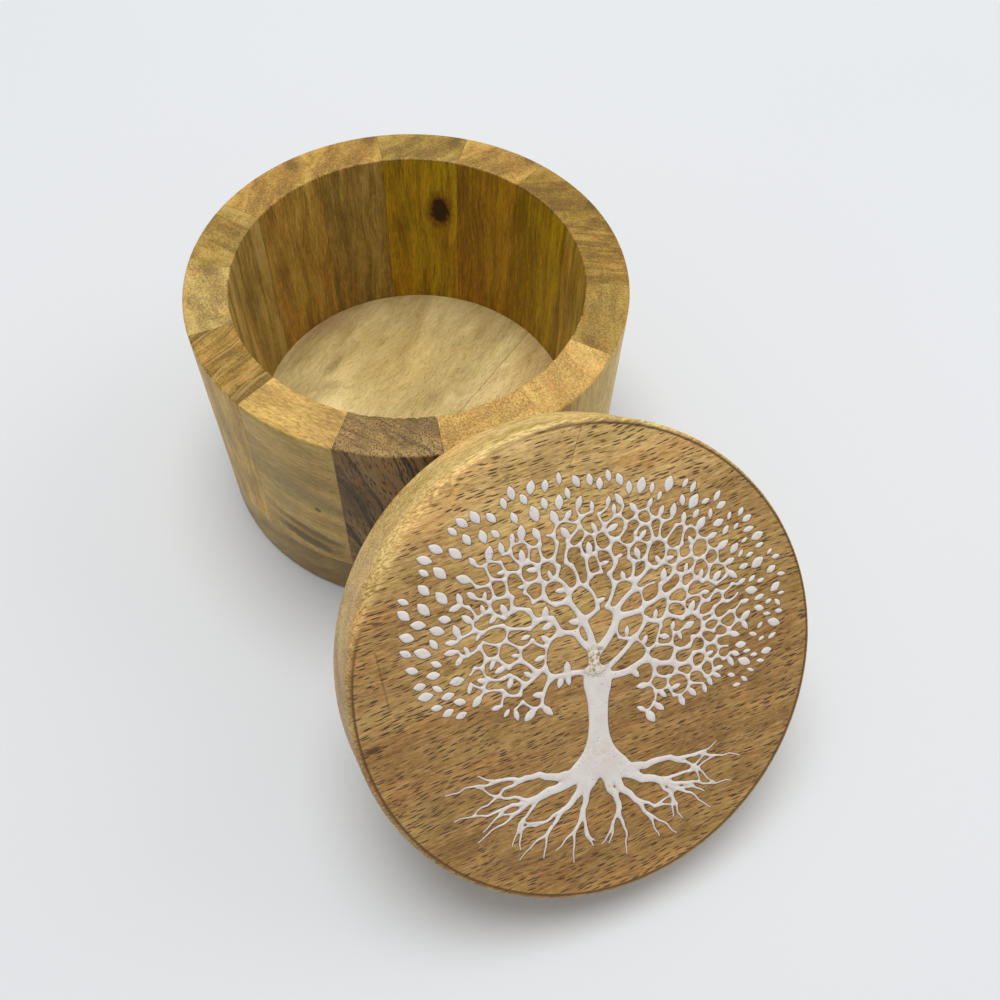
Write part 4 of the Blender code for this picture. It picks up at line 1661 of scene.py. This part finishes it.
    def build(self, woods: Sequence[Wood]) -> None:
        """Build all the staves, each with its own wood.

        Args:
            woods: Wood of each stave; its pattern is turned to face out of the stave's middle.
        """
        whole = sum(self.arcs)
        start = math.radians(self.first_joint)
        for number, (share, wood) in enumerate(zip(self.arcs, woods), 1):
            span = share / whole * math.tau
            node = f"stave_{number:02d}"
            self.stave(start, span, number).piece(
                f"{node}_wood", wood.material(), "box", slot_of(node), [node])
            start += span


@dataclass
class Base:
    """Base disc, glued from two boards along a straight seam; its top is the floor inside."""

    radius: float = 50.0
    thickness: float = 14.0
    edge_round: float = 1.0
    seam_offset: float = 10.5
    seam_angle: float = 32.5
    gap: float = 0.012
    bevel: float = 0.05             # of the floor's edge, and of the seam above and below
    arc_points: int = 200
    seam_steps: int = 25

    def board(self, side: int) -> Shell:
        """One board: the part of the disc on one side of the seam, in rings from floor to foot.

        Args:
            side: 1 for the board beyond the seam and -1 for the one before it.

        Returns:
            The closed surface.
        """
        r = self.edge_round
        foot = arc((0.0, r), r, 0, -90, 6)
        levels = [(self.thickness, self.bevel), (self.thickness - self.bevel, 0.0)]
        levels += [(z, r - x) for x, z in foot]
        turn = math.radians(self.seam_angle)
        along = np.array([math.cos(turn), math.sin(turn)])
        across = np.array([-along[1], along[0]])
        rings = []
        for z, inset in levels:
            radius = self.radius - inset
            cut = -self.seam_offset + side * (self.gap + min(inset, self.bevel))
            half = math.acos(max(-1.0, min(1.0, side * cut / radius)))
            swing = np.linspace(-half, half, self.arc_points)
            out = side * np.cos(swing)[:, None] * across - side * np.sin(swing)[:, None] * along
            ring = out * radius
            share = np.linspace(0, 1, self.seam_steps + 1)[1:-1, None]
            ring = np.concatenate([ring, ring[-1] + (ring[0] - ring[-1]) * share])
            rings.append(np.concatenate([ring, np.full((len(ring), 1), z)], 1))
        points = np.array(rings)
        rows, columns = points.shape[:2]
        hubs = points[[0, -1]].mean(1)
        shell = Shell(MM * np.concatenate([points.reshape(-1, 3), hubs]))
        skin = lattice(rows, columns, wrap_columns=True)
        seam = ((skin % columns >= self.arc_points - 1) | (skin % columns == 0)).all(1)
        shell.add(skin, np.where(seam, 0.3, 0.0)[:, None], skin // columns > 0)
        ring = np.arange(columns)
        shell.add(fan(ring[::-1], rows * columns), 0.0)
        shell.add(fan(ring + (rows - 1) * columns, rows * columns + 1), 0.0)
        return shell

    def build(self, back: Wood, front: Wood) -> None:
        """Build both boards.

        Args:
            back: Wood of the board beyond the seam.
            front: Wood of the board before it.
        """
        self.board(1).piece("base_board_back_wood", back.material(), "box", "floor",
                            ["base_board_back"])
        self.board(-1).piece("base_board_front_wood", front.material(), "box", "floor",
                             ["base_board_front"])


@dataclass
class Lid:
    """Thick lid, carved with the tree, with the plug under it and the white filling in it."""

    frame: LidFrame
    tree: Tree
    radius: float = 48.0
    thickness: float = 17.0
    top_round: float = 1.05
    worn_round: float = 2.1         # more of a rounding where the edge is worn
    worn_at: float = 134.0
    worn_spread: tuple[float, float] = (30.0, 13.0)         # clockwise and the other way
    sharp_round: float = 0.6        # less of a rounding where the edge is sharp
    sharp_at: float = 5.0
    sharp_spread: float = 38.0
    bottom_round: float = 2.5
    turn: float = -17.0             # of the tree on the lid, in degrees
    pocket: float = 1.7
    sink: float = 0.07
    filling_depth: float = 1.5
    crown: float = 0.27             # how much the filling swells above its edge
    steps: int = 320
    plug_steps: int = 240
    spacing: float = 0.24           # of the points along the carving
    rim_shade: tuple[float, float] = (0.12, 0.4)     # painted shade along the rim's rounding: its width, and with fading
    # strength of the painted shade along the rim, where its edge is sharp
    rim_shade_strength: float = 0.92
    rim_shade_fading: tuple[float, ...] = (0.65, 0.35, 0.2, 0.1, 0.05, 0.0)      # of the painted shade, down the rounding
    pillow: float = 0.42            # distance from its edge over which the filling swells

    def edge_round(self, angle: Array) -> Array:
        """Rounding of the upper edge, which is even but for a worn and a sharp side.

        Args:
            angle: The angles.

        Returns:
            Rounding at each.
        """
        away = (np.degrees(angle) - self.worn_at + 180) % 360 - 180
        spread = np.where(away < 0, *self.worn_spread)
        worn = self.worn_round * np.exp(-(away / spread) ** 2)
        away = (np.degrees(angle) - self.sharp_at + 180) % 360 - 180
        return self.top_round + worn - self.sharp_round * np.exp(-(away / self.sharp_spread) ** 2)

    def flat(self, points: Array) -> Array:
        """Turn places of the tree into places on the lid."""
        return turned_by(points, self.turn)

    def build(self, wood: Wood, plug: Wood, filling: Filling) -> None:
        """Build the board, the plug and the filling.

        Args:
            wood: Wood of the board.
            plug: Wood of the plug.
            filling: Finish of the filling.
        """
        tree_loops = self.tree.wood.loops(0.0, self.spacing)
        leaf_loops = self.tree.leaves.loops(0.0, self.spacing)
        self.board(tree_loops + leaf_loops).piece(
            "lid_board_wood", wood.material(), "lid", "lid", ["lid_board"])
        self.plug().piece("lid_plug_wood", plug.material(), "lid", "plug", ["lid_plug"])
        white = filling.material()
        self.fill(self.tree.wood, tree_loops).piece(
            "tree_filling", white, "lid", "filling", ["tree_inlay"], 60)
        self.fill(self.tree.leaves, leaf_loops).piece(
            "leaf_filling", white, "lid", "filling",
            [f"leaf_{k:02d}" for k in range(1, self.tree.leaf_count + 1)], 60)

    def board(self, loops: Loops) -> Shell:
        """Turned board with the pockets of the carving sunk into its face.

        The face is filled with triangles between the rim and the outlines. A straight wall goes
        down from each outline to the pocket's floor, and the turned side follows the rim.

        Args:
            loops: Outlines of the carving.

        Returns:
            The closed surface.
        """
        steps = self.steps
        angle = np.linspace(0, math.tau, steps, endpoint=False)
        spread = np.stack([np.cos(angle), np.sin(angle)], 1)
        worn = self.edge_round(angle)
        rim = spread * (self.radius - worn)[:, None]
        lined, inner = (spread * (self.radius - worn - width)[:, None] for width in self.rim_shade)
        join = np.arange(steps)
        after = (join + 1) % steps
        ring, free = np.stack([join, after], 1), np.zeros((0, 2), int)
        points, faces = fill_plane(
            [rim, lined, inner, self.flat(loops.points), self.flat(self.outline_edge().points)],
            [ring, ring, ring, loops.sides(), free])
        inside = loops.within(faces, 3 * steps)
        total = len(points)
        rows = self.side_rows(angle, worn)
        face = self.frame.place(*points.T, self.thickness)
        floor = self.frame.place(*points.T, self.thickness - self.pocket)
        hub = self.frame.place(np.zeros(1), np.zeros(1), np.zeros(1))
        shell = Shell(np.concatenate([face, floor, rows.reshape(-1, 3), hub]))
        # Painted shade along the upper edge, strongest where its rounding is sharp.
        crisp = self.rim_shade_strength * np.exp(-np.maximum(worn - self.top_round, 0) / 0.4)
        # Darker edge round the carving: painted shade.
        mark = 0.5 * np.clip(1 - np.abs(self.carved(points)) / 0.12, 0, 1)
        mark[:2 * steps] = np.tile(crisp, 2)
        side = np.zeros(total)
        side[:steps] = 0.3
        top = faces[~inside]
        shell.add(top, mark[top], side[top])
        # The pockets' floors and walls are darkened: painted shade.
        shell.add(faces[inside] + total, 0.6)
        a, b = borders(faces[inside])
        shell.add(np.stack([a, b, b + total, a + total], 1), 0.6)
        first = 2 * total
        band = np.stack([join, first + join, first + after, after], 1)
        beyond = np.roll(crisp, -1)
        fading = np.zeros(len(rows))
        fading[:len(self.rim_shade_fading)] = self.rim_shade_fading
        # The painted shade of the upper edge fades down its rounding.
        shell.add(band, np.stack([crisp, fading[0] * crisp, fading[0] * beyond, beyond], 1),
                  [0.3, 0.6, 0.6, 0.3])
        turned = lattice(len(rows), steps, wrap_columns=True)[:, ::-1]
        shell.add(turned + first, fading[turned // steps] * crisp[turned % steps],
                  np.where(turned < steps, 0.6, 1.0))
        last = first + (len(rows) - 1) * steps
        shell.add(fan(last + join, first + len(rows) * steps)[:, ::-1], 0.0, 1.0)
        return shell

    def carved(self, points: Array) -> Array:
        """Distance from places on the lid to the nearest carved shape, negative inside it."""
        places = turned_by(points, -self.turn)
        return np.minimum(self.tree.wood.at(places), self.tree.leaves.at(places))

    def outline_edge(self) -> Loops:
        """Draw outlines just outside the carving, up to which its edge is darkened with painted
        shade.

        Returns:
            The outlines.
        """
        both = Field(self.tree.wood.reach, self.tree.wood.pitch)
        both.value = np.minimum(self.tree.wood.value, self.tree.leaves.value)
        return both.loops(0.14, 0.34)

    def side_rows(self, angle: Array, worn: Array) -> Array:
        """Lay rows of points round the lid, from its upper rounding down to its underside.

        Args:
            angle: Angle of each point in a row.
            worn: Upper rounding at each angle.

        Returns:
            The rows.
        """
        quarter = np.radians(np.linspace(90, 0, 9)[1:])
        radius = [self.radius - worn + worn * math.cos(q) for q in quarter]
        height = [self.thickness - worn + worn * math.sin(q) for q in quarter]
        for drop in np.linspace(0.1, 0.9, 5):
            top, low = self.thickness - worn, self.bottom_round
            radius.append(np.full_like(angle, self.radius))
            height.append(top + (low - top) * drop)
        for x, z in arc((self.radius - self.bottom_round, self.bottom_round),
                        self.bottom_round, 0, -90, 7):
            radius.append(np.full_like(angle, x))
            height.append(np.full_like(angle, z))
        radius, height = np.array(radius), np.array(height)
        body = (height < self.thickness - 0.2) & (height > 0.2)
        uneven = np.abs(ripple(angle[None] * 9, height / 7, 77)) * 0.05
        radius = radius - np.where(body, uneven, 0.0)
        return self.frame.place(radius * np.cos(angle), radius * np.sin(angle), height)

    def plug(self) -> Shell:
        """Turned plug: rings from its upper face down its rounded edge to its lower face.

        Returns:
            The closed surface.
        """
        radius = self.frame.plug_radius / MM
        depth, edge = self.frame.plug_depth / MM, self.frame.plug_edge / MM
        profile = [(radius - 0.1, -0.03), (radius, -0.13)]
        profile += [(radius, z) for z in np.linspace(-1.0, edge - depth, 6)[:-1]]
        profile += arc((radius - edge, edge - depth), edge, 0, -90, 6).tolist()
        profile += [(0.6 * radius, -depth), (0.3 * radius, -depth)]
        profile = np.array(profile)
        steps = self.plug_steps
        angle = np.linspace(0, math.tau, steps, endpoint=False)
        r = np.repeat(profile[:, :1], steps, axis=1)
        z = np.repeat(profile[:, 1:], steps, axis=1)
        r = r - np.abs(ripple(angle[None] * 9, z / 5, 78)) * 0.04 * (r > radius - 0.05)
        rings = self.frame.place(r * np.cos(angle), r * np.sin(angle), z)
        hubs = self.frame.place(np.zeros(2), np.zeros(2), np.array([-0.03, -depth]))
        shell = Shell(np.concatenate([rings.reshape(-1, 3), hubs]))
        rows = len(profile)
        shell.add(lattice(rows, steps, wrap_columns=True))
        ring = np.arange(steps)
        shell.add(fan(ring[::-1], rows * steps))
        shell.add(fan(ring + (rows - 1) * steps, rows * steps + 1))
        return shell

    def fill(self, carved: Field, loops: Loops) -> Shell:
        """Filling of the pockets: a soft cushion inside each outline, with upright sides.

        Its top rises from the edge by the crown times one minus the square of what is left of
        the way to full depth, and it is level from there on.

        Args:
            carved: Field that the outlines come from.
            loops: The outlines.

        Returns:
            The closed surface.
        """
        inner = [carved.loops(level, 0.27, 0.8) for level in (-0.09, -0.2, -0.36)]
        ticks = np.arange(-self.tree.reach, self.tree.reach, 0.7)
        spots = np.stack(np.meshgrid(ticks, ticks), -1).reshape(-1, 2)
        spots = spots + 0.12 * np.random.default_rng(2).uniform(-1, 1, spots.shape)
        spots = spots[carved.at(spots) < -0.6]
        extra = np.concatenate([loop.points for loop in inner] + [spots])
        points, faces = fill_plane([loops.points, extra], [loops.sides(), np.zeros((0, 2), int)])
        faces = faces[loops.within(faces, 0)]
        total = len(points)
        a, b = borders(faces)
        depth = np.clip(-carved.at(points), 0, self.pillow) / self.pillow
        depth[a] = 0.0
        height = self.thickness - self.sink - 0.04 + self.crown * (1 - (1 - depth) ** 2)
        height = height + 0.02 * ripple(points[:, 0] * 0.5, points[:, 1] * 0.5, 12) * depth
        flat = self.flat(points)
        top = self.frame.place(*flat.T, height)
        low = self.frame.place(*flat.T, self.thickness - self.filling_depth)
        shell = Shell(np.concatenate([top, low]))
        # Painted shade on the filling's top near its edge, and on its sides.
        mark = 0.8 * np.clip(1 + carved.at(points) / 0.22, 0, 1)
        mark[a] = 0.8
        shell.add(faces, mark[faces])
        shell.add(faces[:, ::-1] + total, 0.0)
        shell.add(np.stack([b, a, a + total, b + total], 1), 0.8)
        return shell


def slot_of(node: str) -> str:
    """Material slot that the record gives a solid."""
    return next(part["material_slot"] for part in frame["record"]["subparts"]
                if part["node"] == node)


# Woods of this box


class Tone(Enum):
    """Tones of the wood in this box, in round values."""

    SMOKED = (0.24, 0.14, 0.04)
    UMBER = (0.28, 0.17, 0.05)
    TAN = (0.30, 0.17, 0.02)
    NUT = (0.35, 0.22, 0.04)
    FAWN = (0.42, 0.29, 0.07)
    HONEY = (0.45, 0.26, 0.05)
    GOLD = (0.45, 0.29, 0.03)
    RUSSET = (0.46, 0.26, 0.01)
    AMBER = (0.48, 0.31, 0.005)
    OCHRE = (0.50, 0.31, 0.06)
    STRAW = (0.50, 0.34, 0.10)
    PALE = (0.60, 0.37, 0.10)
    CREAM = (0.65, 0.46, 0.12)

    def over(self, other: "Tone") -> Colour:
        """Tint that turns another tone into this one."""
        return tuple(np.array(self.value) / np.array(other.value))


def facing(degrees: float, ring: float, tilt: float) -> Triple:
    """Turn of a stave's wood, whose grain is upright before it is tilted.

    Args:
        degrees: Direction that the stave faces.
        ring: Direction of the growth bands, off the way out.
        tilt: Lean of the grain, in degrees.

    Returns:
        Turn about each axis.
    """
    spin = Matrix.Rotation(math.radians(degrees), 3, "Z") @ Matrix.Rotation(
        math.radians(tilt), 3, "X") @ Matrix.Rotation(math.radians(ring), 3, "Z")
    return tuple(spin.to_euler("XYZ"))


def stave_woods(ring: StaveRing) -> list[Wood]:
    """Wood of each stave, turned to face out of the stave's middle.

    Args:
        ring: Ring whose arcs give the staves' middles.

    Returns:
        The woods, in the staves' order.
    """
    looks = (
        dict(rim=Tone.TAN, outer=Tone.OCHRE, ring=108, band=1.9, band_strength=0.9,
             streak=1.7, stripe=0.45, stripe_pitch=2.0, stripe_colour=(0.62, 0.40, 0.12),
             out_band=0.15),
        dict(rim=Tone.PALE, outer=Tone.STRAW, ring=20, tilt=78, band=4.5, band_strength=0.35,
             streak=1.5, mottle=1.3, pore=0.3, out_band=0.5,
             patches=(Patch((12.2, 20.2, 2.4), (5.0, 1.4, 8.0), (0.18, 0.10, 0.02), 0.8, 0.5),
                      Patch((10.5, 15.8, 4.1), (5.0, 1.9, 8.0), (0.15, 0.085, 0.012), 0.9, 0.5),
                      Patch((17.5, 35.5, 7.0), (6.0, 2.6, 9.0), (0.30, 0.19, 0.07), 0.6, 0.7),
                      Patch((16.5, 31.6, 2.2), (1.5, 0.7, 0.8), (0.10, 0.045, 0.012), 0.8, 0.4))),
        dict(rim=Tone.UMBER, outer=Tone.SMOKED, ring=148, tilt=15, band=2.6, grit=1.9,
             stripe=0.5, stripe_pitch=1.3, pore=0.9, pore_gap=(0.5, 2.2),
             pore_size=(0.11, 0.85), pore_colour=(0.03, 0.015, 0.008),
             stripe_colour=(0.075, 0.045, 0.018), out_band=1.8),
        dict(rim=Tone.PALE, ring=30, band=4.0, mottle=0.7, pore=0.75, pore_gap=(0.5, 2.6),
             pore_size=(0.15, 0.9), pore_colour=(0.36, 0.19, 0.045)),
        dict(rim=Tone.PALE, outer=Tone.CREAM, ring=70, band=4.5, mottle=0.9),
        dict(rim=Tone.NUT, outer=Tone.CREAM, ring=15, band=3.0, mottle=1.2),
        dict(rim=Tone.TAN, inner=Tone.GOLD, outer=Tone.GOLD, ring=78, band=1.8,
             band_strength=0.8, stripe=0.3, stripe_pitch=1.2, out_band=0.2),
        dict(rim=Tone.TAN, inner=Tone.AMBER, outer=Tone.OCHRE, ring=60, band=6.5,
             band_strength=1.0),
        dict(rim=Tone.HONEY, inner=Tone.RUSSET, outer=Tone.OCHRE, ring=60, band=6.0,
             band_strength=0.9),
        dict(rim=Tone.NUT, inner=Tone.AMBER, outer=Tone.OCHRE, ring=40, band=5.0,
             band_strength=0.9,
             patches=(Patch((-7.0, -0.2, 45.2), (3.2, 3.2, 5.4), (0.13, 0.04, 0.008), 0.85, 0.45),
                      Patch((-7.0, -0.2, 45.2), (2.3, 2.3, 3.7), (0.02, 0.005, 0.002), 1.0, 0.2))),
        dict(rim=Tone.HONEY, inner=Tone.FAWN, outer=Tone.STRAW, ring=50, band=6.0,
             band_strength=0.9),
        dict(rim=Tone.HONEY, inner=Tone.OCHRE, outer=Tone.PALE, ring=40, band=6.0,
             band_strength=0.9),
        dict(rim=Tone.NUT, inner=Tone.FAWN, outer=Tone.STRAW, ring=80, band=3.2,
             band_strength=0.8),
        dict(rim=Tone.STRAW, inner=Tone.STRAW, outer=Tone.PALE, ring=20, band=5.0,
             band_strength=0.8,
             cracks=(Crack((-5.5, -0.3, 16.0), (-5.5, -0.3, 59.0), 0.28),)),
    )
    whole, start, woods = sum(ring.arcs), ring.first_joint, []
    for number, (share, look) in enumerate(zip(ring.arcs, looks), 1):
        span = 360.0 * share / whole
        middle = start + span / 2
        turn = facing(middle, look.pop("ring"), look.pop("tilt", 0.0))
        rim = look.pop("rim")
        inner, outer = look.pop("inner", None), look.pop("outer", rim)
        tone = np.array(rim.value)
        away = (ring.radius - 0.5 * ring.wall) * MM
        place = (away * math.cos(math.radians(middle)), away * math.sin(math.radians(middle)),
                 0.0)
        tint = inner.over(rim) if inner else INNER_TINT
        woods.append(Wood(f"mango_stave_{number:02d}", tuple(tone * LIGHT_GRAIN),
                          tuple(tone * DEEP_GRAIN), place, turn, side_tint=tint,
                          out_tint=outer.over(rim), **look))
        start += span
    return woods


def lying(along: Sequence[float], rings: Sequence[float]) -> Triple:
    """Turn of a board's wood.

    Args:
        along: Direction of its grain.
        rings: Direction in which its growth bands follow each other, roughly.

    Returns:
        Turn about each axis.
    """
    z = Vector(along).normalized()
    x = (Vector(rings) - Vector(rings).project(z)).normalized()
    return tuple(Matrix((x, z.cross(x), z)).transposed().to_euler("XYZ"))


def on_lid(start: Sequence[float], end: Sequence[float], width: float, strength: float) -> Crack:
    """Crack in the lid's face, in the frame of the lid's wood.

    Args:
        start: Its start on the face, in millimetres across and up.
        end: Its end.
        width: Its width.
        strength: How dark it is.

    Returns:
        The crack.
    """
    top, size = Lid.thickness, math.hypot(1.0, BAND_LEAN)
    ends = [((top + BAND_LEAN * up) / size, (BAND_LEAN * top - up) / size, across)
            for across, up in (start, end)]
    return Crack(ends[0], ends[1], width, (0.06, 0.026, 0.008), strength)


def wash(centre: Triple, reach: Triple, tint: Colour, strength: float, edge: float) -> Patch:
    """Stretch of a wood where its colour is multiplied by a tint."""
    return Patch(centre, reach, tint, strength, edge, "MULTIPLY")


def floor_woods() -> tuple[Wood, Wood]:
    """Woods of the base's boards, whose grain runs along their seam.

    Returns:
        Wood of the board beyond the seam, and of the one before it.
    """
    seam = math.radians(Base.seam_angle)
    shared = dict(turn=lying((math.cos(seam), math.sin(seam), 0.0), (0.0, 0.3, 1.0)), band=5.0,
                  wander=9.0, streak=0.9, pore=0.12, stripe_pitch=7.0, blush=0.2)
    # Both boards' pale colours paint in part the light that falls into the box from above, and
    # their side tints darken the base's turned outside: painted shade.
    back = Wood(
        "mango_floor_back", (0.84, 0.685, 0.315), (0.60, 0.455, 0.18), band_strength=0.7,
        mottle=1.2, stripe=0.16, side_tint=(0.385, 0.32, 0.22), **shared,
        patches=(Patch((22.8, -33.0, 10.9), (5.0, 4.5, 6.0), (0.62, 0.38, 0.20), 0.5, 0.7),
                 wash((16.7, -8.8, 8.1), (16.0, 16.0, 16.0), (0.78, 0.71, 0.56), 1.0, 0.8),
                 wash((10.5, -17.0, -46.2), (14.0, 14.0, 14.0), (1.35, 1.38, 1.50), 1.0, 0.8)))
    front = Wood(
        "mango_floor_front", (0.84, 0.66, 0.29), (0.61, 0.43, 0.165), (0.02, 0.03, 0.0),
        band_strength=0.5, mottle=1.0, stripe=0.12, side_tint=(0.37, 0.32, 0.24), **shared)
    return back, front


def lid_woods(lid_frame: LidFrame) -> tuple[Wood, Wood]:
    """Woods of the lid, whose grain runs straight across it.

    Args:
        lid_frame: Frame of the leaning lid.

    Returns:
        Wood of the board, and of the plug.
    """
    centre = tuple(lid_frame.centre)
    turn = lying((1.0, 0.0, 0.0), lid_frame.normal + BAND_LEAN * lid_frame.up)
    board = Wood(
        "mango_lid", (0.53, 0.322, 0.113), (0.303, 0.159, 0.0455), centre, turn, band=5.0,
        band_strength=0.4, wander=3.0, streak=1.7, mottle=0.8, grit=1.9, pore=0.92,
        pore_gap=(0.54, 2.1), pore_size=(0.13, 1.0), pore_colour=(0.060, 0.024, 0.006),
        side_tint=(1.15, 1.24, 1.19), side_pore=0.15, side_band=0.35, side_figure=1.2,
        # The lid's edge colour paints the shade along its rim and round its carving.
        side_grit=2.0, edge=(0.10, 0.046, 0.015),
        patches=(wash((26.0, -34.0, 0.0), (60.0, 30.0, 50.0), (1.46, 1.63, 1.78), 0.9, 0.9),
                 wash((8.0, 52.0, 5.0), (60.0, 18.0, 60.0), (0.90, 0.86, 0.74), 0.9, 0.9),
                 wash((15.0, -8.0, -42.0), (60.0, 24.0, 30.0), (0.87, 0.82, 0.81), 0.9, 0.9),
                 wash((16.0, -4.0, 48.0), (60.0, 22.0, 14.0), (0.90, 0.87, 0.82), 0.9, 0.9),
                 Patch((16.5, 4.3, -45.0), (3.0, 0.6, 1.6), (0.06, 0.025, 0.008), 0.8, 0.5)),
        cracks=(on_lid((10.2, 45.4), (5.8, 39.0), 0.10, 0.5),
                on_lid((-38.9, 18.6), (-39.7, 7.8), 0.22, 0.35)))
    plug = Wood("mango_plug", (0.50, 0.33, 0.13), (0.34, 0.20, 0.07), centre, turn, band=4.0,
                rough=0.6)
    return board, plug


# Set


def make_camera() -> None:
    """Put the camera where the photograph was taken from."""
    position = Vector((-0.05377, -0.15784, 0.2254))
    forward = Vector((0.2452, 0.4848, -0.8395)).normalized()
    right = forward.cross(Vector((0.3315, 0.7718, 0.5426))).normalized()
    up = right.cross(forward)
    data = bpy.data.cameras.new("camera")
    data.lens, data.sensor_width = 36.4068, 36.0
    data.clip_start, data.clip_end = 0.01, 10.0
    camera = bpy.data.objects.new("camera", data)
    camera.matrix_world = Matrix.Translation(position) @ Matrix(
        (right, up, -forward)).transposed().to_4x4()
    bpy.context.scene.collection.objects.link(camera)
    bpy.context.scene.camera = camera


def make_set() -> None:
    """Lay the pale table and light it softly."""
    mesh = bpy.data.meshes.new("table")
    mesh.from_pydata([(-3, -3, -0.0001), (3, -3, -0.0001), (3, 3, -0.0001), (-3, 3, -0.0001)],
                     [], [(0, 1, 2, 3)])
    mesh.materials.append(Paint.TABLE.material())
    table = bpy.data.objects.new("table", mesh)
    bpy.context.scene.collection.objects.link(table)
    world = bpy.data.worlds.new("studio")
    world.use_nodes = True
    background = world.node_tree.nodes["Background"]
    background.inputs["Color"].default_value = (0.97, 0.985, 1.0, 1.0)
    background.inputs["Strength"].default_value = 0.45
    bpy.context.scene.world = world
    for name, place, size, power in (("key", (0.0, 0.2, 1.4), 0.9, 13.0),
                                     ("fill", (0.95, -0.1, 0.75), 0.8, 2.0)):
        data = bpy.data.lights.new(name, "AREA")
        data.shape, data.size, data.energy = "DISK", size, power
        lamp = bpy.data.objects.new(name, data)
        lamp.location = place
        lamp.rotation_euler = (-Vector(place)).to_track_quat("-Z", "Y").to_euler()
        bpy.context.scene.collection.objects.link(lamp)
    bpy.context.scene.view_settings.view_transform = "Standard"


def main() -> None:
    """Build the box, its lid and the set."""
    logging.basicConfig(level=logging.INFO, format="%(name)s: %(message)s")
    make_camera()
    make_set()
    ring = StaveRing()
    ring.build(stave_woods(ring))
    Base().build(*floor_woods())
    lid_frame, tree = LidFrame(), Tree()
    lid = Lid(lid_frame, tree)
    spot = lid_frame.place(0.3, 1.0, lid.thickness)
    smear = lid_frame.place(*lid.flat(tree.place(tree.foot) + (-0.6, 3.0)), lid.thickness)
    lid.build(*lid_woods(lid_frame),
              Filling("white_filling", rough_spot=tuple(spot), smear=tuple(smear)))


if __name__ == "__main__":
    main()
